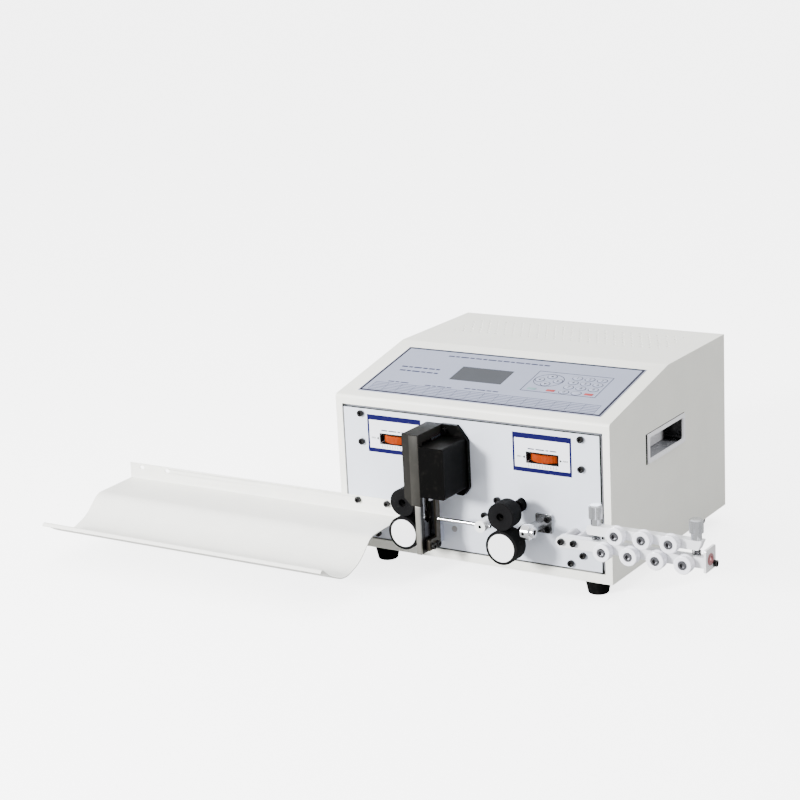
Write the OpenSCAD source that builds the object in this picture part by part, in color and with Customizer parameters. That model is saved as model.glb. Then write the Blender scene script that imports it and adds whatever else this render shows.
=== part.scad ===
// Bench-top wire cutting and stripping machine.
// Frame: X to the right, Y to the back, Z up, with the origin on the bench below the middle of the
// machine's box. The values below count from the middle of the cabinet's width, the front panel's
// face and the cabinet's underside.

/* [Cabinet] */
// Width of the cabinet
cab_w = 400; // [390:1:440]
// Depth of the cabinet
cab_d = 350; // [335:1:400]
// Height of the front edge
front_h = 206.5; // [202:0.5:225]
// Height of the flat top
top_h = 241.5; // [236:0.5:265]
// Level depth of the sloping control face
slope_run = 171; // [165:1:190]
// Thickness of the folded sheet
sheet = 2; // [1.5:0.1:2.5]
// Height of the rubber feet
foot_h = 21.5; // [16:0.5:26]
// Radius of a foot at its top
foot_r = 17.5; // [14:0.5:19]
// Width of the painted frame round the front panel
frame_strip = 12; // [10:0.5:15]
// Shadow gap round the front panel
groove = 2.5; // [2:0.1:3]
// Thickness of the front panel
panel_t = 8; // [7:0.5:10]
// Length of a side handle's bezel
handle_len = 112.5; // [100:0.5:125]
// Height of a side handle's bezel
handle_h = 39; // [36:0.5:45]
// Depth of a side handle's cup
handle_depth = 24; // [18:1:30]
// Pitch of the vent holes in the top
vent_pitch = 13; // [11:0.5:18]
// Radius of a vent hole
vent_r = 2; // [1.5:0.1:2.5]

/* [Control face] */
// Width of the membrane
membrane_w = 355; // [330:1:365]
// Length of the membrane up the slope
membrane_l = 136; // [130:1:140]
// Thickness of the membrane
membrane_t = 0.8; // [0.5:0.1:1.2]
// Width of the display window
lcd_w = 77; // [70:1:85]
// Length of the display window up the slope
lcd_l = 40; // [36:1:45]

/* [Wire feed] */
// Distance of the wire line in front of the panel
wire_out = 44; // [42:0.5:48]
// Height of the wire line
wire_z = 71; // [69:0.5:76]
// Radius of a drive wheel, also its gear's pitch radius
drive_r = 22; // [22:1:22]
// Radius of a pressure wheel, also its gear's pitch radius
press_r = 18; // [18:1:18]
// Width of a feed wheel
wheel_w = 24; // [20:0.5:25]
// Gap between closed feed wheels
wheel_gap = 0.4; // [0.2:0.1:0.6]
// Lift of a pressure wheel
press_lift = 3; // [2:0.5:3]
// Radius of a drive shaft
drive_shaft_r = 6; // [5:0.5:7]
// Radius of a pressure shaft
press_shaft_r = 5; // [4:0.5:6]
// X of the right feed wheels
right_x = 75; // [73:0.5:80]
// X of the left feed wheels
left_x = -68; // [-72:0.5:-68]
// X of the right pressure dial
right_dial_x = 106.5; // [104:0.5:110]
// X of the left pressure dial
left_dial_x = -110.5; // [-114:0.5:-108]
// Radius of a pressure dial
dial_r = 26; // [25:0.5:28]
// Height of a dial's rim
dial_h = 9.6; // [8:0.2:10.4]

/* [Cutter] */
// Travel of each knife
knife_travel = 8.4; // [7:0.1:8.4]
// Half the clear height between the open knives
knife_open = 3; // [2.8:0.1:3.4]
// Thickness of a blade
blade_t = 2.1; // [1.8:0.1:2.1]
// Width of a blade
blade_w = 16; // [14:0.5:17]
// X of the knife guide's left face
guide_x = -45; // [-45:0.5:-44.5]
// Wall of the knife cover
cover_t = 2.5; // [2:0.1:3]

/* [Guide tube and inlet] */
// X of the tube's pivot
pivot_x = 43; // [42:0.5:44]
// Outer radius of the guide tube
tube_r = 2.5; // [2:0.1:3]
// Wall of the guide tube
tube_t = 0.8; // [0.5:0.1:1]
// Radius of the tube's hub
hub_r = 7.75; // [7:0.25:8.5]
// Radius of the bore in the inlet nozzle and the end eye
wire_bore_r = 3.5; // [3.2:0.1:4]

/* [Straightener] */
// Radius of a straightener roller
roller_r = 11.5; // [10:0.5:12.5]
// Width of a straightener roller
roller_w = 12; // [10:0.5:13]
// Pitch of the rollers along a row
roller_pitch = 35.5; // [34:0.5:38]
// X of the first lower roller
roller_x = 210; // [208:0.5:215]
// Depth of the two bars, front to back
bar_d = 12; // [11:0.5:14]
// Travel of the jaw each way
jaw_travel = 2; // [1:0.5:2.5]

/* [Tray] */
// Length of the wire tray
tray_l = 458; // [400:1:500]
// Thickness of the tray's sheet
tray_t = 1.5; // [1:0.1:2]

/* [Hidden] */
$fn = 48;

// Overshoot of cuts, running, seating and sliding clearances
cut = 1;
run = 0.06;
seat = 0.1;
slip = 0.2;

// Cabinet values
slope_deg = atan((top_h - front_h) / slope_run);
panel_w = cab_w - 2 * frame_strip;
panel_z = [14.6, front_h - 14.5];
foot_spots = [[-146, 24], [168, 24], [-168, cab_d - 30], [168, cab_d - 30]];
foot_tip_r = foot_r - 4.5;
handle_y = [105, 105 + handle_len];
handle_z = [127, 127 + handle_h];
handle_rim = 5;
handle_proud = 1.6;
handle_wall = 2;
vent_x = [-160, 175];
vent_y = [247, 313];
floor_t = sheet;
lip_h = 18;
upright_t = 3;
upright_x = [panel_w / 2 - 38, panel_w / 2 - 14];
upright_d = 22;
upright_top = panel_z[1] - 2;
toe_x = panel_w / 2 - 52;
toe_top = 32;
side_in = cab_w / 2 - sheet - slip;
rear_y = [cab_d - sheet, cab_d];

// Control face values, X and distance up the slope
membrane_x0 = -175;
membrane_s0 = 17;
lcd_x0 = -67;
lcd_s0 = 72;
lcd_margin = 8;
lcd_depth = 12;

// Wire feed values
wire_y = -wire_out;
gear_m = 2;
drive_teeth = 2 * drive_r / gear_m;
press_teeth = 2 * press_r / gear_m;
low_z = wire_z - drive_r - wheel_gap / 2;
up_z = wire_z + press_r + wheel_gap / 2;
wheel_y = [wire_y - wheel_w / 2, wire_y + wheel_w / 2];
cap_t = 1.5;
cap_r = drive_r - 3;
frame_y = [panel_t, panel_t + 10];
gear_y = [frame_y[1] + 2, frame_y[1] + 12];
feed_motor_y = frame_y[1] + 18;
shaft_in_motor = 34;
dial_y = dial_r - 2.5;
dial_z = wire_z + 81.6;
dial_half_w = 21.5;
dial_half_h = 5.85;
dial_screw_r = 4;
arm_z = [up_z + press_r + gear_m + 1, up_z + press_r + gear_m + 10];
arm_y = [frame_y[1] + 0.3, dial_y + 9];
carriage_half = 12;
tongue_half = 16;
tongue_y = [frame_y[0] + 3, frame_y[0] + 7];
carriage_z0 = up_z - 13;
channel_top = arm_z[1] + press_lift + 0.8;
frame_split = low_z + 8;
frame_top = channel_top + 3;
ear_t = 7.5;
ear_gap = dial_h / 2 + 1.7;
motor_w = 57;
motor_l = 56;
motor_hole = 23.57;
post_r = 3;

// Cutter values
column_x = [guide_x - 15, guide_x + 9];
column_y0 = wire_y - 18;
column_z = [wire_z + 18.5, wire_z + 112.5];
rack_m = 1;
pinion_teeth = 14;
pinion_r = rack_m * pinion_teeth / 2;
pinion_x = guide_x + 2;
pinion_z = wire_z + 82;
rack_y = [wire_y + 10, wire_y + 20];
pinion_shaft_r = 4;
knife_motor_y = panel_t + 32;
knife_y = [wire_y - blade_w / 2, wire_y + blade_w / 2];
upper_blade_x = [guide_x + 2.4, guide_x + 2.4 + blade_t];
lower_blade_x = [upper_blade_x[1] + slip, upper_blade_x[1] + slip + blade_t];
guide_x1 = lower_blade_x[1] - slip;
upper_rack_x = pinion_x - pinion_r;
lower_rack_x = pinion_x + pinion_r;
rack_back = 1.25 * rack_m + 2.95;
cavity_x0 = upper_rack_x - rack_back - 0.3;
cavity_y0 = knife_y[0] - slip;
cavity_z = [wire_z + 42, pinion_z + 19];
plate_y1 = wheel_y[0] - 1;
cover_x = [column_x[1], guide_x + 45];
flange_out = 2.5;
cover_z = [wire_z + 31.5, wire_z + 98];
flange_t = 6;

// Guide tube and inlet values
spindle_r = 4;
hub_y = [wire_y - 8, wire_y + 14];
tube_x = [lower_rack_x + 14, pivot_x + 11];
nozzle_x = [right_x + drive_r - 2, right_x + drive_r + 20];
nozzle_r = 10;
nozzle_tip_r = 6.75;
bracket_x = [96, 119.5];
bracket_z = [wire_z - 14, wire_z + 11];
bracket_t = 4;

// Straightener values
bar_y = [wire_y + roller_w / 2 + 0.5, wire_y + roller_w / 2 + 0.5 + bar_d];
rail_x = [142, roller_x + 3.5 * roller_pitch + 12.75];
rail_z = [wire_z - 16, wire_z - 2.5];
jaw_x = [185, rail_x[1] - 10.5];
jaw_z = [wire_z + 5.5, wire_z + 17.5];
lower_roller_z = wire_z - roller_r + 0.3;
upper_roller_z = wire_z + roller_r + 0.5;
rail_screws_x = [150, 167];
rail_screw_z = wire_z - 8.5;
rail_post_r = 6;
axle_r = 4;
axle_head_r = 5.3;
axle_shank_r = 2.5;
thumb_x = [jaw_x[0] + 10, jaw_x[1] - 9.5];
thumb_y = (bar_y[0] + bar_y[1]) / 2;
thumb_shank_r = 3;
thumb_neck_r = 6.65;
thumb_head_r = 8.75;
thumb_neck_h = 8.5;
thumb_head_h = 17;
spring_r = 5;
spring_wire_r = 0.6;
spring_turns = 3;
eye_x = [rail_x[1], rail_x[1] + 3];
eye_screw_y = bar_y[0] + 4.5;
eye_y = [wire_y - 13, eye_screw_y + 4.5];
eye_half_z = 14;
eye_r = 5.5;
eye_flange_r = 7.5;
eye_flange_t = 1.5;

// Tray values, the profile in Y and Z from the flange's top to the lip
tray_x1 = left_x - 37;
tray_x = [tray_x1 - tray_l, tray_x1];
tray_shelf_z = wire_z - 24;
tray_path = [
    [-tray_t / 2, wire_z - 1], [-tray_t / 2, tray_shelf_z],
    [-76, tray_shelf_z - 2], [-104, tray_shelf_z - 27],
    [-140, tray_shelf_z - 39], [-172, tray_shelf_z - 24], [-188, tray_shelf_z - 10], [-192, tray_shelf_z - 14]
];
tray_bends = [0, 2.5, 24, 60, 40, 60, 2.5, 0];
tray_slot_in = [21.1, 66.7];
tray_slot_z = wire_z - 6.5;
tray_slot_half = 1.5;

// Screw values
screw_r = 2.4;
screw_head_r = 4.25;
screw_head_h = 4;
screw_socket_r = 2.4;
panel_screws = concat(
    [for (s = [-1, 1], z = [184.2, 146]) [s * (panel_w / 2 - 27), z]],
    [for (s = [-1, 1]) each [[s * (panel_w / 2 - 27.7), 33.5], [s * (panel_w / 2 - 44.8), 21.1]]]
);
tray_screws = [for (d = tray_slot_in) tray_x1 - d];
bracket_screws = [for (z = [bracket_z[0] + 6, bracket_z[1] - 6]) [bracket_x[1] - 5, z]];
flange_screw = [cover_x[0] + 6, column_z[1] - 8];
spare_screws = [[pivot_x - 2.9, wire_z + 19.7], [pivot_x - 22.4, wire_z - 3.2]];
plug = [pivot_x - 68.1, wire_z - 27.9];
plug_r = 4;
plug_h = 1.2;

// Rear inlet values
inlet_x = [-150, -118];
inlet_z = [40, 98];
inlet_body_y0 = cab_d - 24;
inlet_flange_t = 2.6;
socket_half = [12.4, 8.4];
socket_z = inlet_z[0] + 17;
socket_depth = 18;
rocker_half = [10, 7];
rocker_z = inlet_z[1] - 15;
rocker_axis_y = cab_d - 2;
rocker_tilt = 8;
rocker_pin_r = 1.5;
rocker_pin_x = [-2, 2] + [inlet_x[0] + 6, inlet_x[1] - 6];

// Middle of the machine's box, from the tray's end to the eye's screw and from the lip to the inlet
box_mid = [
    (tray_x[0] + eye_x[1] + screw_head_h) / 2,
    (tray_path[len(tray_path) - 1][0] + cab_d + inlet_flange_t) / 2
];

// Corner b of the path a, b, c, rounded to radius r
function corner(a, b, c, r, n = 6) =
    r == 0 ? [b] :
    let (u = (a - b) / norm(a - b), v = (c - b) / norm(c - b))
    let (half = acos(u * v) / 2, centre = b + (u + v) / norm(u + v) * r / sin(half))
    let (p = b + u * r / tan(half) - centre, q = b + v * r / tan(half) - centre)
    let (from = atan2(p[1], p[0]), turn = atan2(p[0] * q[1] - p[1] * q[0], p * q))
    [for (k = [0:n]) centre + r * [cos(from + turn * k / n), sin(from + turn * k / n)]];

// Closed outline with the radius of each corner, or one radius for all
function rounded(pts, r) =
    let (n = len(pts))
    [for (i = [0:n - 1]) each corner(pts[(i + n - 1) % n], pts[i], pts[(i + 1) % n], is_list(r) ? r[i] : r)];

function rounded_box(x, y, r) = rounded([[x[0], y[0]], [x[1], y[0]], [x[1], y[1]], [x[0], y[1]]], r);

// Open path with rounded bends, given a thickness t
function bent_path(pts, r) =
    [for (i = [0:len(pts) - 1]) each corner(pts[max(i - 1, 0)], pts[i], pts[min(i + 1, len(pts) - 1)], r[i])];

function path_normal(pts, i) =
    let (d = pts[min(i + 1, len(pts) - 1)] - pts[max(i - 1, 0)])
    [-d[1], d[0]] / norm(d);

function strip(pts, t) = concat(
    [for (i = [0:len(pts) - 1]) pts[i] + path_normal(pts, i) * t / 2],
    [for (i = [len(pts) - 1:-1:0]) pts[i] - path_normal(pts, i) * t / 2]
);

// Involute gear outline with a tooth centred on angle phase, thinned for backlash
function involute_deg(a) = tan(a) * 180 / PI - a;

function flank_deg(q, r, teeth, thin) =
    let (base = r * cos(20))
    90 / teeth - thin / r * 90 / PI + involute_deg(20) - (q > base ? involute_deg(acos(base / q)) : 0);

function gear_outline(teeth, m, phase, thin, head = 1, steps = 4) =
    let (r = m * teeth / 2, root = r - 1.25 * m, low = max(root, r * cos(20)), tip = r + head * m)
    let (radii = concat([root], [for (k = [0:steps]) low + (tip - low) * k / steps]))
    [for (i = [0:teeth - 1]) each concat(
        [for (q = radii)
            let (a = phase + i * 360 / teeth - flank_deg(q, r, teeth, thin))
            q * [cos(a), sin(a)]],
        [for (k = [len(radii) - 1:-1:0])
            let (q = radii[k], a = phase + i * 360 / teeth + flank_deg(q, r, teeth, thin))
            q * [cos(a), sin(a)]]
    )];

// Rack outline in X and Z: teeth point along side from the pitch line, with a gap at height gap_z
function rack_outline(pitch_x, side, back, z, gap_z, teeth, thin) =
    let (p = PI * rack_m, tip = 0.8 * rack_m, root = 1.25 * rack_m, half = p / 4 - thin / 2)
    concat(
        [[pitch_x - side * back, z[0]], [pitch_x - side * root, z[0]]],
        [for (k = teeth) let (c = gap_z + (k + 0.5) * p) each [
            [pitch_x - side * root, c - half - root * tan(20)],
            [pitch_x + side * tip, c - half + tip * tan(20)],
            [pitch_x + side * tip, c + half - tip * tan(20)],
            [pitch_x - side * root, c + half + root * tan(20)]
        ]],
        [[pitch_x - side * root, z[1]], [pitch_x - side * back, z[1]]]
    );

// Star outline of a knurl
function knurl(r, depth, n) =
    [for (i = [0:2 * n - 1]) (r - (i % 2) * depth) * [cos(i * 180 / n), sin(i * 180 / n)]];

// Box between two bounds on each axis
module span(x, y, z) {
    translate([x[0], y[0], z[0]]) cube([x[1] - x[0], y[1] - y[0], z[1] - z[0]]);
}

// Rods along one axis
module rod_x(x, y, z, r) {
    translate([x[0], y, z]) rotate([0, 90, 0]) cylinder(h = x[1] - x[0], r = r);
}

module rod_y(x, y, z, r) {
    translate([x, y[0], z]) rotate([-90, 0, 0]) cylinder(h = y[1] - y[0], r = r);
}

module rod_z(x, y, z, r) {
    translate([x, y, z[0]]) cylinder(h = z[1] - z[0], r = r);
}

// Outline in Y and Z drawn along X, and outline in X and Z drawn along Y
module along_x(x) {
    translate([x[0], 0, 0]) rotate([90, 0, 90]) linear_extrude(x[1] - x[0]) children();
}

module along_y(y) {
    translate([0, y[1], 0]) rotate([90, 0, 0]) linear_extrude(y[1] - y[0]) children();
}

// Places children, built from the cabinet, in the machine's frame
module lifted() {
    translate([-box_mid[0], -box_mid[1], foot_h]) children();
}

// Places children on the sloping face: X, distance up the slope, height off it
module on_slope() {
    lifted() translate([0, 0, front_h]) rotate([slope_deg, 0, 0]) children();
}

// Level slot along Y, half long each way
module slot_x(x, y, z, half, r) {
    for (s = [-1, 1]) rod_y(x + s * half, y, z, r);
    span([x - half, x + half], y, [z - r, z + r]);
}

// Upright slot along Y
module slot_y(x, y, z, r) {
    for (end = z) rod_y(x, y, end, r);
    span([x - r, x + r], y, z);
}

// Side outline of the cabinet, outside and inside
function cabinet_outline() =
    rounded([[0, 0], [0, front_h], [slope_run, top_h], [cab_d, top_h], [cab_d, 0]], [0, 4, 12, 0, 0]);

function cabinet_inside() =
    let (drop = sheet / cos(slope_deg), rise = tan(slope_deg), back = cab_d + cut)
    [
        [sheet, -cut], [sheet, front_h + sheet * rise - drop],
        [(top_h - sheet - front_h + drop) / rise, top_h - sheet], [back, top_h - sheet], [back, -cut]
    ];

module handle_outline(grow) {
    bounds_y = [handle_y[0] - grow, handle_y[1] + grow];
    bounds_z = [handle_z[0] - grow, handle_z[1] + grow];
    polygon(rounded_box(bounds_y, bounds_z, 3));
}

module vent_holes() {
    columns = floor((vent_x[1] - vent_x[0]) / vent_pitch);
    rows = floor((vent_y[1] - vent_y[0]) / vent_pitch);
    for (i = [0:columns - 1], j = [0:rows])
        rod_z(
            vent_x[0] + (i + (j % 2) / 2) * vent_pitch, vent_y[0] + j * vent_pitch,
            [top_h - sheet - cut, top_h + cut], vent_r
        );
}

module cabinet_shell() {
    color("ivory") {
        difference() {
            lifted() difference() {
                along_x([-cab_w / 2, cab_w / 2]) polygon(cabinet_outline());
                along_x([-cab_w / 2 + sheet, cab_w / 2 - sheet]) polygon(cabinet_inside());
                span(
                    [-panel_w / 2 - groove, panel_w / 2 + groove], [-cut, sheet + cut],
                    [panel_z[0] - groove, panel_z[1] + groove]
                );
                along_x([-cab_w / 2 - cut, cab_w / 2 + cut]) handle_outline(-handle_rim + handle_wall + seat);
                vent_holes();
            }
            on_slope() span(
                [lcd_x0 - seat, lcd_x0 + lcd_w + seat], [lcd_s0 - seat, lcd_s0 + lcd_l + seat],
                [-sheet - cut, cut]
            );
        }
    }
}

module base_chassis() {
    back = rear_y[0] - seat;
    color("lightgray") lifted() difference() {
        union() {
            span([-side_in, side_in], [sheet + slip, back], [0, floor_t]);
            for (s = [-1, 1]) {
                mirror([s < 0 ? 1 : 0, 0, 0]) span([side_in - sheet, side_in], [40, back], [0, lip_h]);
                upright(s);
            }
            span([-side_in, side_in], [back - sheet, back], [0, lip_h]);
        }
        for (p = panel_screws) rod_y(p[0], [panel_t - cut, panel_t + upright_t + cut], p[1], screw_r + seat);
    }
}

// Folded upright that carries one side of the front panel
module upright(s) {
    face = [panel_t, panel_t + upright_t];
    mirror([s < 0 ? 1 : 0, 0, 0]) {
        span(upright_x, face, [0, upright_top]);
        span([upright_x[1] - upright_t, upright_x[1]], [panel_t, panel_t + upright_d], [0, upright_top]);
        span([toe_x, upright_x[1]], face, [0, toe_top]);
        span([toe_x, upright_x[1]], [panel_t, panel_t + upright_d], [0, floor_t + upright_t]);
    }
}

module rear_panel() {
    slots_x = [40, 160];
    slot_pitch = 12;
    slot_h = 46;
    slot_r = 2;
    color("ivory") lifted() difference() {
        span([-side_in, side_in], rear_y, [0, top_h - sheet - slip]);
        span(
            [inlet_x[0] + 3 - seat, inlet_x[1] - 3 + seat], [rear_y[0] - cut, rear_y[1] + cut],
            [inlet_z[0] + 3 - seat, inlet_z[1] - 3 + seat]
        );
        for (x = [slots_x[0]:slot_pitch:slots_x[1]], z = [60, 130])
            slot_y(x, [rear_y[0] - cut, rear_y[1] + cut], [z, z + slot_h], slot_r);
    }
}

module dial_window(x, grow) {
    polygon(rounded_box(
        [x - dial_half_w - grow, x + dial_half_w + grow],
        [dial_z - dial_half_h - grow, dial_z + dial_half_h + grow], 2.5
    ));
}

module front_panel() {
    through = [-cut, panel_t + cut];
    color("aliceblue") lifted() difference() {
        along_y([0, panel_t]) polygon(rounded_box([-panel_w / 2, panel_w / 2], panel_z, 1.5));
        for (x = [left_dial_x, right_dial_x]) along_y(through) dial_window(x, 0);
        for (x = [left_x, right_x]) {
            rod_y(x, through, low_z, drive_shaft_r + 1.5);
            slot_y(x, through, [up_z, up_z + press_lift], press_shaft_r + 1);
        }
        rod_y(pinion_x, through, pinion_z, pinion_shaft_r + 1.5);
        rod_y(pivot_x, through, wire_z, spindle_r + run);
        for (p = panel_screws) rod_y(p[0], through, p[1], screw_r + seat);
        for (x = tray_screws) rod_y(x, through, tray_slot_z, screw_r + seat);
        for (p = bracket_screws) rod_y(p[0], through, p[1], screw_r + seat);
        for (x = rail_screws_x) rod_y(x, through, rail_screw_z, screw_r + seat);
        for (p = concat(spare_screws, [flange_screw, plug])) rod_y(p[0], through, p[1], screw_r + seat);
    }
}

module feet() {
    fillet = 2;
    profile = rounded([[0, 0], [foot_r, 0], [foot_tip_r, -foot_h], [0, -foot_h]], [0, 0, fillet, 0]);
    color("black") lifted() for (p = foot_spots) translate(p) rotate_extrude() polygon(profile);
}

// Socket screw with its head's seat at the origin, the head towards -Y
module socket_screw(length) {
    difference() {
        rod_y(0, [-screw_head_h, 0], 0, screw_head_r);
        translate([0, -screw_head_h - cut, 0]) rotate([-90, 0, 0])
            cylinder(h = 2.5 + cut, r = screw_socket_r, $fn = 6);
    }
    rod_y(0, [-cut, length], 0, screw_r);
}

module socket_screws() {
    color("black") lifted() {
        for (p = panel_screws) translate([p[0], 0, p[1]]) socket_screw(panel_t + upright_t);
        for (x = tray_screws) translate([x, -tray_t, tray_slot_z]) socket_screw(tray_t + panel_t);
        for (p = bracket_screws) translate([p[0], -bracket_t, p[1]]) socket_screw(bracket_t + panel_t);
        for (x = rail_screws_x) translate([x, bar_y[0], rail_screw_z]) socket_screw(panel_t - bar_y[0]);
        translate([flange_screw[0], -flange_t, flange_screw[1]]) socket_screw(flange_t + panel_t);
        for (p = spare_screws) translate([p[0], 0, p[1]]) socket_screw(panel_t);
        translate([eye_x[1], eye_screw_y, rail_screw_z]) rotate([0, 0, 90])
            socket_screw(eye_x[1] - eye_x[0] + 9);
    }
}

module post(x, y, z, r, bore) {
    difference() {
        rod_y(x, y, z, r);
        if (bore > 0) rod_y(x, [y[0] - cut, y[1] + cut], z, bore);
    }
}

// The inner upper corner of each feed motor has no post, for the tube's solenoid
function feed_posts(x) =
    [for (c = [[1, 1], [1, -1], [-1, -1]]) [x + sign(x) * c[0] * motor_hole, low_z + c[1] * motor_hole]];

module standoffs() {
    color("silver") lifted() {
        for (x = rail_screws_x) post(x, [bar_y[1], 0], rail_screw_z, rail_post_r, screw_r + seat);
        for (i = [-1, 1], j = [-1, 1])
            post(pinion_x + i * motor_hole, [panel_t, knife_motor_y], pinion_z + j * motor_hole, post_r, 0);
        for (x = [left_x, right_x], p = feed_posts(x))
            post(p[0], [frame_y[1], feed_motor_y], p[1], post_r, 0);
        rod_y(plug[0], [-plug_h, 0], plug[1], plug_r);
        rod_y(plug[0], [-cut, panel_t], plug[1], screw_r);
    }
}

module side_handles() {
    color("gainsboro") lifted() for (s = [0, 1]) mirror([s, 0, 0]) difference() {
        union() {
            along_x([cab_w / 2, cab_w / 2 + handle_proud]) handle_outline(0);
            along_x([cab_w / 2 - handle_depth, cab_w / 2]) handle_outline(-handle_rim + handle_wall);
        }
        along_x([cab_w / 2 - handle_depth + handle_wall, cab_w / 2 + handle_proud + cut])
            handle_outline(-handle_rim);
    }
}

module membrane_panel() {
    color("lightsteelblue") on_slope() difference() {
        span(
            [membrane_x0, membrane_x0 + membrane_w], [membrane_s0, membrane_s0 + membrane_l],
            [slip / 10, membrane_t]
        );
        span(
            [lcd_x0 - seat, lcd_x0 + lcd_w + seat], [lcd_s0 - seat, lcd_s0 + lcd_l + seat],
            [-cut, membrane_t + cut]
        );
    }
}

module lcd_module() {
    color("slategray") on_slope() {
        span([lcd_x0, lcd_x0 + lcd_w], [lcd_s0, lcd_s0 + lcd_l], [-sheet - cut, membrane_t - 0.3]);
        span(
            [lcd_x0 - lcd_margin, lcd_x0 + lcd_w + lcd_margin],
            [lcd_s0 - lcd_margin, lcd_s0 + lcd_l + lcd_margin],
            [-sheet - lcd_depth, -sheet]
        );
    }
}

module control_board() {
    board_x = [-cab_w / 2 + 22, -cab_w / 2 + 170];
    board_y = [cab_d - 160, cab_d - 40];
    board_z = [floor_t + 10, floor_t + 11.6];
    sink_y = [board_y[1] - 42, board_y[1] - 6];
    color("darkgreen") lifted() {
        span(board_x, board_y, board_z);
        for (x = [board_x[0] + 8, board_x[1] - 8], y = [board_y[0] + 8, board_y[1] - 8])
            rod_z(x, y, [floor_t, board_z[0]], 4);
        span([board_x[0] + 12, board_x[0] + 92], sink_y, [board_z[1], board_z[1] + 6]);
        for (x = [board_x[0] + 12:9.75:board_x[0] + 90])
            span([x, x + 2], sink_y, [board_z[1] + 6, board_z[1] + 32]);
        for (k = [0:2]) rod_z(board_x[1] - 20, board_y[0] + 34 + k * 28, [board_z[1], board_z[1] + 36], 11);
        for (k = [0:3])
            span([board_x[0] + 16 + k * 24, board_x[0] + 34 + k * 24], [board_y[0] + 4, board_y[0] + 14],
                [board_z[1], board_z[1] + 12]);
    }
}

module transformer() {
    x = [cab_w / 2 - 150, cab_w / 2 - 54];
    y = [cab_d - 135, cab_d - 75];
    core_h = 80;
    coil = 14;
    bed = [floor_t, floor_t + 3];
    color("sienna") lifted() {
        span([x[0] - 12, x[1] + 12], [y[0] + 8, y[1] - 8], bed);
        span(x, y, [bed[1], bed[1] + core_h]);
        along_y([y[0] - coil, y[1] + coil])
            polygon(rounded_box([x[0] + 18, x[1] - 18], [bed[1] + 16, bed[1] + core_h - 16], 10));
    }
}

// Stepper motor with its front face at y and its shaft bore on x, z
module stepper(x, y, z, bore) {
    half = motor_w / 2;
    difference() {
        union() {
            along_y([y, y + motor_l]) polygon(rounded_box([x - half, x + half], [z - half, z + half], 5));
            rod_y(x, [y - 1.6, y + cut], z, 19);
        }
        rod_y(x, [y - 1.6 - cut, y + shaft_in_motor], z, bore + run);
    }
}

module stepper_motors() {
    color("dimgray") lifted() {
        for (x = [left_x, right_x]) stepper(x, feed_motor_y, low_z, drive_shaft_r);
        stepper(pinion_x, knife_motor_y, pinion_z, pinion_shaft_r);
    }
}

module power_inlet() {
    mid_x = (inlet_x[0] + inlet_x[1]) / 2;
    blade_pins = [[-7, -1], [0, 3], [7, -1]];
    color("black") lifted() difference() {
        union() {
            along_y([cab_d, cab_d + inlet_flange_t]) polygon(rounded_box(inlet_x, inlet_z, 3));
            span([inlet_x[0] + 3, inlet_x[1] - 3], [inlet_body_y0, cab_d], [inlet_z[0] + 3, inlet_z[1] - 3]);
        }
        difference() {
            along_y([cab_d - socket_depth, cab_d + inlet_flange_t + cut]) polygon(rounded(
                [
                    [mid_x - socket_half[0], socket_z - socket_half[1]],
                    [mid_x + socket_half[0], socket_z - socket_half[1]],
                    [mid_x + socket_half[0], socket_z + socket_half[1] - 5],
                    [mid_x + socket_half[0] - 5, socket_z + socket_half[1]],
                    [mid_x - socket_half[0] + 5, socket_z + socket_half[1]],
                    [mid_x - socket_half[0], socket_z + socket_half[1] - 5]
                ], 1
            ));
            for (p = blade_pins)
                span([mid_x + p[0] - 1, mid_x + p[0] + 1], [cab_d - socket_depth - cut, cab_d - 5],
                    [socket_z + p[1] - 2, socket_z + p[1] + 2]);
        }
        span(
            [mid_x - rocker_half[0], mid_x + rocker_half[0]], [cab_d - 14, cab_d + inlet_flange_t + cut],
            [rocker_z - rocker_half[1] - 0.6, rocker_z + rocker_half[1] + 0.6]
        );
        rod_x([rocker_pin_x[0] - slip, rocker_pin_x[1] + slip], rocker_axis_y, rocker_z, rocker_pin_r + run);
    }
}

// Rocker that pivots on two short pins, drawn in its off position
module power_rocker() {
    mid_x = (inlet_x[0] + inlet_x[1]) / 2;
    face = 2.6;
    color("firebrick") lifted() {
        translate([0, rocker_axis_y, rocker_z]) rotate([-rocker_tilt, 0, 0])
            along_x([mid_x - rocker_half[0] + 0.4, mid_x + rocker_half[0] - 0.4]) polygon([
                [-6, -2.5], [-3, -rocker_half[1] + 0.9], [face + 1, -rocker_half[1] + 0.9], [face, 0],
                [face + 1, rocker_half[1] - 0.9], [-3, rocker_half[1] - 0.9], [-6, 2.5]
            ]);
        rod_x(rocker_pin_x, rocker_axis_y, rocker_z, rocker_pin_r);
    }
}

module wire_tray() {
    color("whitesmoke") lifted() difference() {
        along_x(tray_x) polygon(strip(bent_path(tray_path, tray_bends), tray_t));
        for (d = tray_slot_in, x = [tray_x[1] - d, tray_x[0] + d])
            slot_x(x, [-tray_t - cut, cut], tray_slot_z, tray_slot_half, screw_r + slip);
    }
}

module cutter_column() {
    chamfer = 10;
    plate = [
        [column_x[0], cavity_z[0]], [column_x[0], column_z[0] + chamfer], [column_x[0] + chamfer, column_z[0]],
        [column_x[1], column_z[0]], [column_x[1], cavity_z[0]]
    ];
    color("dimgray") lifted() {
        along_y([column_y0, plate_y1]) polygon(plate);
        difference() {
            span(column_x, [column_y0, 0], [cavity_z[0], column_z[1]]);
            span([cavity_x0, column_x[1] + cut], [cavity_y0, cut], [cavity_z[0] - cut, cavity_z[1]]);
            rod_y(pinion_x, [cavity_y0 - 5.5, cut], pinion_z, pinion_shaft_r + run);
        }
        span(
            [cavity_x0 - cut, cavity_x0 + 4], [rack_y[1] + slip, rack_y[1] + 8],
            [cavity_z[0], cavity_z[1] + cut]
        );
    }
}

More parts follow.
